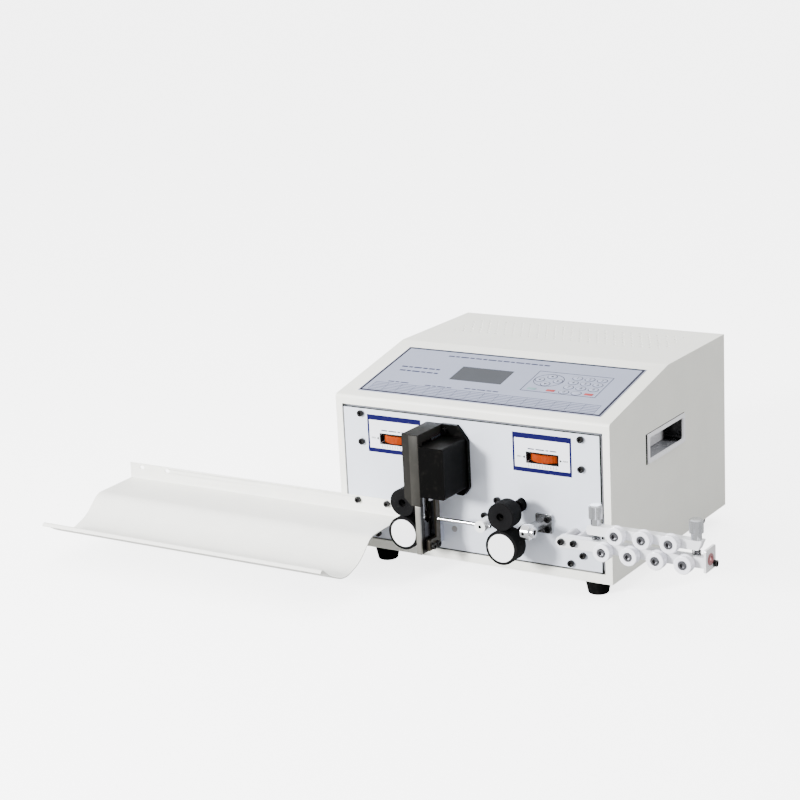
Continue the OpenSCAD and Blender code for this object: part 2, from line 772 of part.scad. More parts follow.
module knife_guide() {
    foot_y0 = wire_y + 24;
    z = [wire_z - 46, column_z[0]];
    color("darkgray") lifted() difference() {
        union() {
            span([guide_x, guide_x1], [column_y0, foot_y0], z);
            span([guide_x - 13, guide_x + 3], [foot_y0 - cut, 0], [z[0], z[0] + 25]);
        }
        span(
            [upper_blade_x[0] - slip, guide_x1 + cut], [knife_y[0] - slip, knife_y[1] + slip],
            [z[0] + 4.7, z[1] + cut]
        );
        rod_x([guide_x - cut, guide_x1 + cut], wire_y, wire_z, 4);
    }
}

module knife_cover() {
    inner_x = [cover_x[0] - cut, cover_x[1] - cover_t];
    inner_z = [cover_z[0] + cover_t, cover_z[1] - cover_t];
    top = column_z[1] + 1;
    flange = [
        [cover_x[0], top], [cover_x[1] - 12.5, top], [cover_x[1], cover_z[1]],
        [cover_x[1] + flange_out, cover_z[1] - 4], [cover_x[1] + flange_out, cover_z[0] + 1.5],
        [cover_x[1] + 1, cover_z[0] - 2], [cover_x[1] - 6, cover_z[0] - 10.5],
        [cover_x[1] - 16, cover_z[0] - 10.5], [cover_x[1] - 23, cover_z[0] - 2], [cover_x[0], cover_z[0] - 2]
    ];
    color([0.08, 0.08, 0.08]) lifted() difference() {
        union() {
            along_y([column_y0, 0]) polygon(rounded_box(cover_x, cover_z, [0, 3, 3, 0]));
            along_y([-flange_t, 0]) polygon(rounded(flange, [0, 2, 2, 4, 4, 3, 4, 4, 3, 0]));
        }
        span(inner_x, [column_y0 + cover_t, cut], inner_z);
        span(
            [inner_x[0], lower_rack_x + rack_back + 1.5], [rack_y[0] - 2, rack_y[1] + 2],
            [cover_z[0] - cut, inner_z[1]]
        );
        rod_y(flange_screw[0], [-flange_t - cut, cut], flange_screw[1], screw_r + seat);
    }
}

module knife_pinion() {
    color("silver") lifted() {
        along_y(rack_y) translate([pinion_x, pinion_z])
            polygon(gear_outline(pinion_teeth, rack_m, 0, 0.2, 0.9));
        rod_y(pinion_x, [cavity_y0 - 5, knife_motor_y + shaft_in_motor - 2], pinion_z, pinion_shaft_r);
    }
}

module upper_knife_slide() {
    block_z = [cavity_z[0] + 1, cavity_z[0] + 12];
    foot_x = [guide_x - 3.8, upper_blade_x[0]];
    rack_z = [block_z[0], pinion_z + 14];
    color("slategray") lifted() {
        along_y(rack_y)
            polygon(rack_outline(upper_rack_x, 1, rack_back, rack_z, pinion_z, [-4:3], 0.2));
        span([upper_rack_x - rack_back, upper_blade_x[0]], [knife_y[0], rack_y[1]], block_z);
        span(foot_x, knife_y, [wire_z + 28, block_z[1]]);
    }
}

// Blade outline in Y and Z: a V notch in the edge at height edge, the blade reaching to height back
function blade_outline(edge, back) =
    let (s = sign(back - edge), notch = 5)
    [
        [knife_y[0], back], [knife_y[0], edge], [wire_y - notch, edge], [wire_y, edge + s * notch],
        [wire_y + notch, edge], [knife_y[1], edge], [knife_y[1], back]
    ];

module upper_blade() {
    color("lightgray") lifted() along_x(upper_blade_x)
        polygon(blade_outline(wire_z + knife_open, wire_z + 46));
}

module lower_knife_slide() {
    foot_z = [wire_z - 43, wire_z - 29];
    rack_z = [foot_z[0], pinion_z + 4];
    screws_y = [wire_y - 1, wire_y + 10.5];
    color("tan") lifted() {
        along_y(rack_y)
            polygon(rack_outline(lower_rack_x, -1, rack_back, rack_z, pinion_z, [-7:0], 0.2));
        span([lower_blade_x[1], lower_rack_x + rack_back], [knife_y[0], rack_y[1]], foot_z);
        for (y = screws_y) translate([lower_rack_x + rack_back, y, foot_z[0] + 5])
            rotate([0, 0, 90]) socket_screw(0);
    }
}

module lower_blade() {
    color("lightgray") lifted() along_x(lower_blade_x)
        polygon(blade_outline(wire_z - knife_open, wire_z - 41));
}

// Casting behind the panel that holds one drive shaft, guides the carriage and carries the dial
module feed_frame(x, dial_x) {
    s = sign(x);
    out = function (d) x + s * d;
    range = function (a, b) [min(out(a), out(b)), max(out(a), out(b))];
    dial_span = [dial_x - dial_r - 6, dial_x + dial_r + 6];
    ears = [[dial_z - ear_gap - ear_t, dial_z - ear_gap], [dial_z + ear_gap, dial_z + ear_gap + ear_t]];
    through = [frame_y[0] - cut, frame_y[1] + cut];
    difference() {
        union() {
            span([x - 30, x + 30], frame_y, [low_z - 28, frame_split]);
            span(range(-20.5, 26), frame_y, [frame_split - cut, frame_top]);
            span(dial_span, frame_y, [frame_top - cut, ears[1][1]]);
            for (z = ears) span([dial_x - 12, dial_x + 12], [frame_y[1] - cut, dial_y + 10], z);
        }
        rod_y(x, through, low_z, drive_shaft_r + run);
        span([x - carriage_half - slip, x + carriage_half + slip], through, [carriage_z0 - 0.5, channel_top]);
        span(
            [x - tongue_half - slip, x + tongue_half + slip], [tongue_y[0] - slip, tongue_y[1] + slip],
            [carriage_z0 - 0.5, channel_top]
        );
        span([dial_x - dial_r - 1, dial_x + dial_r + 1], through, [dial_z - ear_gap, dial_z + ear_gap]);
        rod_z(dial_x, dial_y, [ears[0][0] - cut, ears[1][1] + cut], dial_screw_r + run);
    }
}

module feed_frames() {
    color("slategray") lifted() {
        feed_frame(left_x, left_dial_x);
        feed_frame(right_x, right_dial_x);
    }
}

module drive_wheel(x) {
    color([0.1, 0.1, 0.1]) lifted() difference() {
        rod_y(x, wheel_y, low_z, drive_r);
        rod_y(x, [wheel_y[0] - cut, wheel_y[0] + cap_t], low_z, cap_r + seat);
        rod_y(x, [wheel_y[0], wheel_y[1] + cut], low_z, drive_shaft_r + seat);
    }
}

module wheel_cap(x) {
    profile = rounded([[0, 0], [cap_r, 0], [cap_r, cap_t + 0.4], [0, cap_t + 0.4]], [0, 0, 0.6, 0]);
    color("silver") lifted() translate([x, wheel_y[0] + cap_t, low_z]) rotate([90, 0, 0])
        rotate_extrude() polygon(profile);
}

module drive_shaft(x) {
    color("silver") lifted() {
        rod_y(x, [wheel_y[0] + cap_t, feed_motor_y + shaft_in_motor - 2], low_z, drive_shaft_r);
        along_y(gear_y) translate([x, low_z]) polygon(gear_outline(drive_teeth, gear_m, 90, 0.3));
    }
}

module carriage(x, dial_x) {
    s = sign(x);
    boss = 9;
    arm_x = s > 0 ? [x - carriage_half, dial_x + boss] : [dial_x - boss, x + carriage_half];
    body_x = [x - carriage_half, x + carriage_half];
    color("silver") lifted() difference() {
        union() {
            span(body_x, [frame_y[0] + 0.3, frame_y[1] - slip], [carriage_z0, arm_z[1]]);
            span([x - tongue_half, x + tongue_half], tongue_y, [carriage_z0, arm_z[1]]);
            span(body_x, [frame_y[1] - cut, arm_y[0] + cut], arm_z);
            span(arm_x, arm_y, arm_z);
        }
        rod_y(x, [frame_y[0] - cut, frame_y[1] + cut], up_z, press_shaft_r + run);
        rod_z(dial_x, dial_y, [arm_z[0] - cut, arm_z[1] + cut], dial_screw_r + slip);
    }
}

module pressure_wheel(x) {
    bore = press_shaft_r + seat;
    profile = rounded([[bore, 0], [press_r, 0], [press_r, wheel_w], [bore, wheel_w]], [0, 1, 1, 0]);
    color([0.1, 0.1, 0.1]) lifted() translate([x, wheel_y[1], up_z]) rotate([90, 0, 0])
        rotate_extrude() polygon(profile);
}

module pressure_shaft(x) {
    collar_y = [-12, -1.5];
    socket_depth = 8;
    color("silver") lifted() difference() {
        union() {
            rod_y(x, [wheel_y[0] + 4, gear_y[1] + 2], up_z, press_shaft_r);
            rod_y(x, collar_y, up_z, press_shaft_r + 3);
            along_y(gear_y) translate([x, up_z])
                polygon(gear_outline(press_teeth, gear_m, 270 + 180 / press_teeth, 0.3));
        }
        translate([x, wheel_y[0] + 4 - cut, up_z]) rotate([-90, 0, 0])
            cylinder(h = socket_depth, r = 3, $fn = 6);
    }
}

module dial(x) {
    color("darkorange") lifted() translate([x, dial_y, 0]) {
        translate([0, 0, dial_z - dial_h / 2]) linear_extrude(dial_h) polygon(knurl(dial_r, 0.4, 90));
        rod_z(0, 0, [arm_z[0] - 4, dial_z + ear_gap + ear_t + 2], dial_screw_r);
        rod_z(0, 0, [dial_z - ear_gap + slip, dial_z + ear_gap - slip], dial_screw_r + 4);
    }
}

module left_drive_wheel() drive_wheel(left_x);
module left_wheel_cap() wheel_cap(left_x);
module left_drive_shaft() drive_shaft(left_x);
module left_carriage() carriage(left_x, left_dial_x);
module left_pressure_wheel() pressure_wheel(left_x);
module left_pressure_shaft() pressure_shaft(left_x);
module left_dial() dial(left_dial_x);
module right_drive_wheel() drive_wheel(right_x);
module right_wheel_cap() wheel_cap(right_x);
module right_drive_shaft() drive_shaft(right_x);
module right_carriage() carriage(right_x, right_dial_x);
module right_pressure_wheel() pressure_wheel(right_x);
module right_pressure_shaft() pressure_shaft(right_x);
module right_dial() dial(right_dial_x);

module tube_solenoid() {
    body_r = 9.5;
    body_y = [panel_t, feed_motor_y - 2];
    color("dimgray") lifted() difference() {
        rod_y(pivot_x, body_y, wire_z, body_r);
        rod_y(pivot_x, [body_y[0] - cut, body_y[1] - 4], wire_z, spindle_r + run);
    }
}

module tube_hub() {
    collar_y = [-14, -1];
    color("gainsboro") lifted() difference() {
        union() {
            rod_y(pivot_x, hub_y, wire_z, hub_r);
            rod_y(pivot_x, [hub_y[1] - cut, feed_motor_y - 7], wire_z, spindle_r);
            rod_y(pivot_x, collar_y, wire_z, hub_r - 1);
        }
        rod_x([pivot_x - hub_r - cut, pivot_x + hub_r + cut], wire_y, wire_z, tube_r + seat);
        translate([pivot_x, hub_y[0] - cut, wire_z]) rotate([-90, 0, 0])
            cylinder(h = 4 + cut, r = 2.5, $fn = 6);
    }
}

module guide_tube() {
    color("silver") lifted() difference() {
        rod_x(tube_x, wire_y, wire_z, tube_r);
        rod_x([tube_x[0] - cut, tube_x[1] + cut], wire_y, wire_z, tube_r - tube_t);
    }
}

module inlet_bracket() {
    arm_x = [nozzle_x[0] + 6, nozzle_x[0] + 15];
    color("silver") lifted() difference() {
        union() {
            along_y([-bracket_t, 0]) polygon(rounded_box(bracket_x, bracket_z, 2));
            span(arm_x, [wire_y, -bracket_t + cut], [wire_z - 4.5, wire_z + 4.5]);
        }
        rod_x([nozzle_x[0], nozzle_x[1]], wire_y, wire_z, nozzle_r + seat);
        for (p = bracket_screws) rod_y(p[0], [-bracket_t - cut, cut], p[1], screw_r + seat);
    }
}

module inlet_nozzle() {
    length = nozzle_x[1] - nozzle_x[0];
    profile = rounded([
        [wire_bore_r, 0], [wire_bore_r + 1.5, 0], [nozzle_r, 6], [nozzle_r, length - 5],
        [nozzle_tip_r, length - 4], [nozzle_tip_r, length], [wire_bore_r, length]
    ], [0, 0.4, 1, 0.8, 0, 0.8, 0.8]);
    color("silver") lifted() difference() {
        translate([nozzle_x[0], wire_y, wire_z]) rotate([0, 90, 0]) rotate_extrude() polygon(profile);
        rod_y(nozzle_x[0] + 10, [wire_y - nozzle_r - cut, wire_y - wire_bore_r - 1.5], wire_z, 2);
    }
}

lower_rollers_x = [for (i = [0:3]) roller_x + i * roller_pitch];
upper_rollers_x = [for (i = [0:2]) roller_x + (i + 0.5) * roller_pitch];

module straightener_rail() {
    color("white") lifted() difference() {
        along_y(bar_y) polygon(rounded_box(rail_x, rail_z, [6, 0.8, 0.8, 6]));
        for (x = rail_screws_x) rod_y(x, [bar_y[0] - cut, bar_y[1] + cut], rail_screw_z, screw_r + seat);
        for (x = lower_rollers_x)
            rod_y(x, [bar_y[0] - cut, bar_y[0] + 9], lower_roller_z, axle_shank_r + seat);
        for (x = thumb_x) rod_z(x, thumb_y, [rail_z[0] - cut, rail_z[1] + cut], thumb_shank_r + slip);
        rod_x([rail_x[1] - 9.5, rail_x[1] + cut], eye_screw_y, rail_screw_z, screw_r + seat);
    }
}

module straightener_jaw() {
    tilt = 5;
    outline = rounded(
        [[jaw_x[0], jaw_z[0]], [jaw_x[1] - tilt, jaw_z[0]], [jaw_x[1], jaw_z[1]], [jaw_x[0], jaw_z[1]]],
        [3, 0.8, 0.8, 3]
    );
    color("white") lifted() difference() {
        along_y(bar_y) polygon(outline);
        for (x = upper_rollers_x)
            rod_y(x, [bar_y[0] - cut, bar_y[0] + 9], upper_roller_z, axle_shank_r + seat);
        for (x = thumb_x) rod_z(x, thumb_y, [jaw_z[0] - cut, jaw_z[1] + cut], thumb_shank_r + run);
    }
}

// Shoulder bolt that carries one roller, its head sunk in the roller's face
module axle(x, z) {
    head_y = wire_y - roller_w / 2 + 1.8;
    difference() {
        union() {
            rod_y(x, [head_y - 2.4, head_y], z, axle_head_r);
            rod_y(x, [head_y - cut, bar_y[0]], z, axle_r);
            rod_y(x, [bar_y[0] - cut, bar_y[0] + 8.5], z, axle_shank_r);
        }
        translate([x, head_y - 2.4 - cut, z]) rotate([-90, 0, 0]) cylinder(h = 4, r = 3.2, $fn = 6);
    }
}

module rail_axles() {
    color("dimgray") lifted() for (x = lower_rollers_x) axle(x, lower_roller_z);
}

module jaw_axles() {
    color("dimgray") lifted() for (x = upper_rollers_x) axle(x, upper_roller_z);
}

module roller(x, z) {
    bore = axle_r + run;
    pocket_r = axle_head_r + 0.6;
    groove_half = 3;
    groove_depth = 1.8;
    profile = rounded([
        [bore, 0], [roller_r, 0], [roller_r, roller_w / 2 - groove_half],
        [roller_r - groove_depth, roller_w / 2], [roller_r, roller_w / 2 + groove_half], [roller_r, roller_w],
        [pocket_r, roller_w], [pocket_r, roller_w - 2], [bore, roller_w - 2]
    ], [0, 1.2, 0.4, 0.8, 0.4, 1.2, 0.4, 0, 0]);
    color("white") lifted() translate([x, wire_y + roller_w / 2, z]) rotate([90, 0, 0])
        rotate_extrude() polygon(profile);
}

module lower_roller_1() roller(lower_rollers_x[0], lower_roller_z);
module lower_roller_2() roller(lower_rollers_x[1], lower_roller_z);
module lower_roller_3() roller(lower_rollers_x[2], lower_roller_z);
module lower_roller_4() roller(lower_rollers_x[3], lower_roller_z);
module upper_roller_1() roller(upper_rollers_x[0], upper_roller_z);
module upper_roller_2() roller(upper_rollers_x[1], upper_roller_z);
module upper_roller_3() roller(upper_rollers_x[2], upper_roller_z);

// Coil spring as a tube swept along a helix from height z0 to z1
module coil_spring(z0, z1) {
    sides = 6;
    steps = 16 * spring_turns;
    climb = z1 - z0 - 2 * spring_wire_r;
    ring = function (k) [for (j = [0:sides - 1])
        let (a = k * 360 * spring_turns / steps, b = j * 360 / sides, q = spring_r + spring_wire_r * cos(b))
        [q * cos(a), q * sin(a), z0 + spring_wire_r + climb * k / steps + spring_wire_r * sin(b)]];
    points = [for (k = [0:steps]) each ring(k)];
    walls = [for (k = [0:steps - 1], j = [0:sides - 1])
        [k * sides + j, k * sides + (j + 1) % sides, (k + 1) * sides + (j + 1) % sides, (k + 1) * sides + j]];
    first = [for (j = [sides - 1:-1:0]) j];
    last = [for (j = [0:sides - 1]) steps * sides + j];
    polyhedron(points, concat([first], [last], walls));
}

module jaw_springs() {
    color("dimgray") lifted() for (x = thumb_x) translate([x, thumb_y, 0])
        coil_spring(rail_z[1] + seat, jaw_z[0] - seat);
}

module thumbscrew(x) {
    neck_z = [jaw_z[1] + seat, jaw_z[1] + thumb_neck_h];
    head_z = [neck_z[1], neck_z[1] + thumb_head_h];
    bevel = 1.5;
    color("silver") lifted() translate([x, thumb_y, 0]) {
        rod_z(0, 0, [rail_z[0] + jaw_travel + 1, neck_z[0] + cut], thumb_shank_r);
        rod_z(0, 0, neck_z, thumb_neck_r);
        translate([0, 0, head_z[0]]) linear_extrude(thumb_head_h - bevel) polygon(knurl(thumb_head_r, 0.5, 32));
        translate([0, 0, head_z[1] - bevel]) cylinder(h = bevel, r1 = thumb_head_r - 1, r2 = thumb_head_r - 2);
    }
}

module inner_thumbscrew() thumbscrew(thumb_x[0]);
module outer_thumbscrew() thumbscrew(thumb_x[1]);

module eye_plate() {
    color("silver") lifted() difference() {
        along_x(eye_x) polygon(rounded_box(
            eye_y, [wire_z - eye_half_z, wire_z + eye_half_z], 2
        ));
        rod_x([eye_x[0] - cut, eye_x[1] + cut], wire_y, wire_z, eye_r + seat);
        rod_x([eye_x[0] - cut, eye_x[1] + cut], eye_screw_y, rail_screw_z, screw_r + seat);
    }
}

module ceramic_eye() {
    depth = eye_x[1] - eye_x[0] + 1;
    profile = rounded([
        [wire_bore_r, 0], [eye_r, 0], [eye_r, depth], [eye_flange_r, depth],
        [eye_flange_r, depth + eye_flange_t], [wire_bore_r, depth + eye_flange_t]
    ], [0.8, 0.4, 0, 0, 1.2, 1.2]);
    color("rosybrown") lifted() translate([eye_x[0] - 1, wire_y, wire_z]) rotate([0, 90, 0])
        rotate_extrude() polygon(profile);
}

cabinet_shell();
base_chassis();
rear_panel();
front_panel();
feet();
socket_screws();
standoffs();
side_handles();
membrane_panel();
lcd_module();
control_board();
transformer();
stepper_motors();
power_inlet();
power_rocker();
wire_tray();
cutter_column();
knife_guide();
knife_cover();
knife_pinion();
upper_knife_slide();
upper_blade();
lower_knife_slide();
lower_blade();
feed_frames();
left_drive_wheel();
left_wheel_cap();
left_drive_shaft();
left_carriage();
left_pressure_wheel();
left_pressure_shaft();
left_dial();
right_drive_wheel();
right_wheel_cap();
right_drive_shaft();
right_carriage();
right_pressure_wheel();
right_pressure_shaft();
right_dial();
tube_solenoid();
tube_hub();
guide_tube();
inlet_bracket();
inlet_nozzle();
straightener_rail();
rail_axles();
straightener_jaw();
jaw_axles();
jaw_springs();
inner_thumbscrew();
outer_thumbscrew();
lower_roller_1();
lower_roller_2();
lower_roller_3();
lower_roller_4();
upper_roller_1();
upper_roller_2();
upper_roller_3();
eye_plate();
ceramic_eye();
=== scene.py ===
"""Looks of a bench-top wire cutting and stripping machine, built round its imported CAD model."""

import logging
import math
from dataclasses import dataclass, field, replace
from enum import Enum
from typing import Any, Iterable, Sequence

import bpy
from mathutils import Matrix, Vector


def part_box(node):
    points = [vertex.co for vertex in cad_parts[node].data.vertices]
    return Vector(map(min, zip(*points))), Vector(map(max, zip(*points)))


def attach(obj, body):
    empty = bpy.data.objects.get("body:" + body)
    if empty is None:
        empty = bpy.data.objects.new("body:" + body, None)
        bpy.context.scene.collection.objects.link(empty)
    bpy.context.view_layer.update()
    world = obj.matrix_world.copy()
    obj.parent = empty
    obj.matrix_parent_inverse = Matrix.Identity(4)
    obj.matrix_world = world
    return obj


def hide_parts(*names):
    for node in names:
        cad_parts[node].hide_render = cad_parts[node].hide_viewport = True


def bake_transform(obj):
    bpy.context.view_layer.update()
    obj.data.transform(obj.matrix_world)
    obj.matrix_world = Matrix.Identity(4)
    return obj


log = logging.getLogger("wire_machine")

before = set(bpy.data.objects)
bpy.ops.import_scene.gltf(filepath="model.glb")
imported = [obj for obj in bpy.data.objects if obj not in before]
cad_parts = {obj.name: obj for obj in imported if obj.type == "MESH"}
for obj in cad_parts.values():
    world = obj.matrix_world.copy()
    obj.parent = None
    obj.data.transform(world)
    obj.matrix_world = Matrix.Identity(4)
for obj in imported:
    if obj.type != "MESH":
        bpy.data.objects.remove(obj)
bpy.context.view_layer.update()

MM = 0.001
BODY = "cabinet"
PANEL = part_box("front_panel")
HOME = Vector(((PANEL[0].x + PANEL[1].x) / 2, PANEL[0].y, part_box("cabinet_shell")[0].z))
COLUMN_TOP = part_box("cutter_column")[1].z - HOME.z
UPRIGHT = Matrix.Rotation(math.pi / 2, 4, "X")
Color = tuple[float, float, float]
Pair = tuple[float, float]
Piece = bpy.types.Object
Floats = Sequence[float]


def srgb(red: int, green: int, blue: int) -> Color:
    """Turns a colour read off a screen into scene-linear values.

    Args:
        red: Red, 0 to 255.
        green: Green, 0 to 255.
        blue: Blue, 0 to 255.

    Returns:
        The linear colour.
    """
    def linear(v: float) -> float:
        return v / 12.92 if v <= 0.04045 else ((v + 0.055) / 1.055) ** 2.4

    return tuple(linear(c / 255) for c in (red, green, blue))


class Value:
    """A shader socket that takes part in Python arithmetic."""

    def __init__(self, graph: "Graph", socket: bpy.types.NodeSocket) -> None:
        """Wraps one output socket of a graph."""
        self.graph = graph
        self.socket = socket

    def _math(self, operation: str, *others: Any) -> "Value":
        """Adds one Math node with this value first."""
        inputs = dict(enumerate((self, *others)))
        return self.graph.node("ShaderNodeMath", {"operation": operation}, inputs)

    def __add__(self, other: Any) -> "Value":
        """Sum."""
        return self._math("ADD", other)

    def __sub__(self, other: Any) -> "Value":
        """Difference."""
        return self._math("SUBTRACT", other)

    def __rsub__(self, other: float) -> "Value":
        """Number minus this value."""
        return self.graph.node("ShaderNodeMath", {"operation": "SUBTRACT"}, {0: other, 1: self})

    def __mul__(self, other: Any) -> "Value":
        """Product."""
        return self._math("MULTIPLY", other)

    def ramp(self, low: float, high: float) -> "Value":
        """Smooth step from 0 at low to 1 at high."""
        inputs = {"Value": self, "From Min": low, "From Max": high}
        return self.graph.node("ShaderNodeMapRange", {"interpolation_type": "SMOOTHSTEP"}, inputs)

    def span(self, given: Pair, made: Pair) -> "Value":
        """Maps the range given to the range made, evenly."""
        names = ("Value", "From Min", "From Max", "To Min", "To Max")
        return self.graph.node("ShaderNodeMapRange", None, dict(zip(names, (self, *given, *made))))

    def sine(self) -> "Value":
        """Sine of the value in radians."""
        return self._math("SINE")

    def most(self, other: Any) -> "Value":
        """Larger of two values."""
        return self._math("MAXIMUM", other)


class Graph:
    """One material's node tree."""

    def __init__(self, name: str) -> None:
        """Starts an empty node material of this name."""
        self.material = bpy.data.materials.new(name)
        self.material.use_nodes = True
        self.tree = self.material.node_tree
        self.tree.nodes.clear()
        self._position: Value | None = None

    def node(self, kind: str, settings: dict[str, Any] | None = None,
             inputs: dict[Any, Any] | None = None, output: Any = 0) -> Value:
        """Adds a node of any type.

        Args:
            kind: Blender's type name of the node.
            settings: Attributes that are set first.
            inputs: Socket names or numbers with their numbers or links.
            output: Name or number of the socket that is returned.

        Returns:
            The chosen output socket.
        """
        made = self.tree.nodes.new(kind)
        for key, setting in (settings or {}).items():
            setattr(made, key, setting)
        for key, given in (inputs or {}).items():
            if isinstance(given, Value):
                self.tree.links.new(given.socket, made.inputs[key])
            else:
                made.inputs[key].default_value = given
        return Value(self, made.outputs[output])

    def position(self) -> Value:
        """Object coordinates, which are the row frame's metres on every piece."""
        if self._position is None:
            self._position = self.node("ShaderNodeTexCoord", output="Object")
        return self._position

    def stretched(self, scale: Floats, centre: Floats = (0, 0, 0)) -> Value:
        """Object coordinates about a centre, scaled on each axis."""
        move = [-c * s for c, s in zip(centre, scale)]
        return self.node("ShaderNodeMapping", None,
                         {"Vector": self.position(), "Location": move, "Scale": list(scale)})

    def axes(self, vector: Value | None = None) -> list[Value]:
        """Three numbers of a vector, of the position if it is left out."""
        split = self.node("ShaderNodeSeparateXYZ", None, {0: vector or self.position()})
        return [Value(self, s) for s in split.socket.node.outputs]

    def noise(self, size: float, detail: float = 2, stretch: Floats = (1, 1, 1)) -> Value:
        """Noise, 0 to 1, whose lumps are about size metres, longer where stretch is less than one."""
        vector = self.stretched([k / size for k in stretch])
        return self.node("ShaderNodeTexNoise", None, {"Vector": vector, "Scale": 1.0, "Detail": detail})

    def mix(self, factor: Any, low: Any, high: Any) -> Value:
        """Mixes two colours.

        Args:
            factor: Share of the second colour.
            low: First colour or link.
            high: Second colour or link.

        Returns:
            The mixed colour.
        """
        inputs = {0: factor}
        for socket, tint in ((6, low), (7, high)):
            inputs[socket] = tint if isinstance(tint, Value) else (*tint, 1)
        return self.node("ShaderNodeMix", {"data_type": "RGBA"}, inputs, output=2)

    def bump(self, height: Value, depth: float) -> Value:
        """Normal of a relief that is depth metres deep."""
        return self.node("ShaderNodeBump", None, {"Strength": 1.0, "Distance": depth, "Height": height})

    def surface(self, **inputs: Any) -> bpy.types.Material:
        """Ends the graph in a principled surface.

        Args:
            **inputs: Socket names, with underscores for spaces.

        Returns:
            The finished material.
        """
        named = {key.replace("_", " "): given for key, given in inputs.items()}
        shader = self.node("ShaderNodeBsdfPrincipled", None, named)
        self.node_output(shader)
        return self.material

    def node_output(self, shader: Value) -> None:
        """Links a shader to the material's output."""
        out = self.tree.nodes.new("ShaderNodeOutputMaterial")
        self.tree.links.new(shader.socket, out.inputs["Surface"])


class RoomGraph(Graph):
    """Node tree of the room light."""

    def __init__(self, name: str) -> None:
        """Makes the scene's world under this name."""
        world = bpy.data.worlds.new(name)
        bpy.context.scene.world = world
        world.use_nodes = True
        self.tree = world.node_tree


class Grain(Enum):
    """Relief that a finish shows close up."""

    PAINT = "powder coat with a fine orange peel"
    MOULDED = "fine spark-eroded mould texture"
    BRUSHED_X = "brush marks along X"
    BRUSHED_Z = "brush marks along Z"
    TURNED = "fine rings about an axis along Y"
    GROUND = "short crossing grinder marks"
    KNURLED = "crossed knurl about an axis along Y"
    SMOOTH = "polished"


EVEN = (1, 1, 1)
LONG = 0.02
SHORT = 0.06
NOISES = {
    Grain.PAINT: (1.1 * MM, 2, EVEN),
    Grain.MOULDED: (0.35 * MM, 3, EVEN),
    Grain.BRUSHED_X: (0.5 * MM, 3, (LONG, 1, 1)),
    Grain.BRUSHED_Z: (0.5 * MM, 3, (1, 1, LONG)),
    Grain.SMOOTH: (6 * MM, 1, EVEN),
}
GRIND = 0.6 * MM
PATCH = 45 * MM
SCUFF = 7 * MM
SOIL_HEIGHT = 90 * MM
RING_PITCH = 0.45 * MM
KNURL_PITCH = 1.6 * MM
KNURL_TEETH = 66


@dataclass(frozen=True)
class Shade:
    """Darker part of a node, beyond one plane: painted shade in recesses and on faces set back from the
    front, or a part's own dark colour.

    Attributes:
        axis: 0, 1 or 2 for X, Y or Z from the panel's foot, X without its sign.
        clear: Where the finish is still clear.
        full: Where it has all of the shade.
        color: Colour of the shade.
        also: Axis, clear and full of a second plane that limits it.
    """

    axis: int
    clear: float
    full: float
    color: Color = (0.004, 0.004, 0.004)
    also: tuple[int, float, float] | None = None

    @staticmethod
    def beyond(graph: Graph, axis: int, clear: float, full: float) -> Value:
        """Share of the shade beyond one plane, 0 where it is clear and 1 where it is full."""
        place = graph.axes(graph.stretched(EVEN, HOME))[axis]
        return (place.most(place * -1) if axis == 0 else place).ramp(clear, full)

    def over(self, graph: Graph, tint: Value) -> Value:
        """Lays the shade over a colour.

        Args:
            graph: Graph that it is added to.
            tint: Colour beneath.

        Returns:
            The shaded colour.
        """
        share = self.beyond(graph, self.axis, self.clear, self.full)
        if self.also:
            share = share * self.beyond(graph, *self.also)
        return graph.mix(share, tint, self.color)


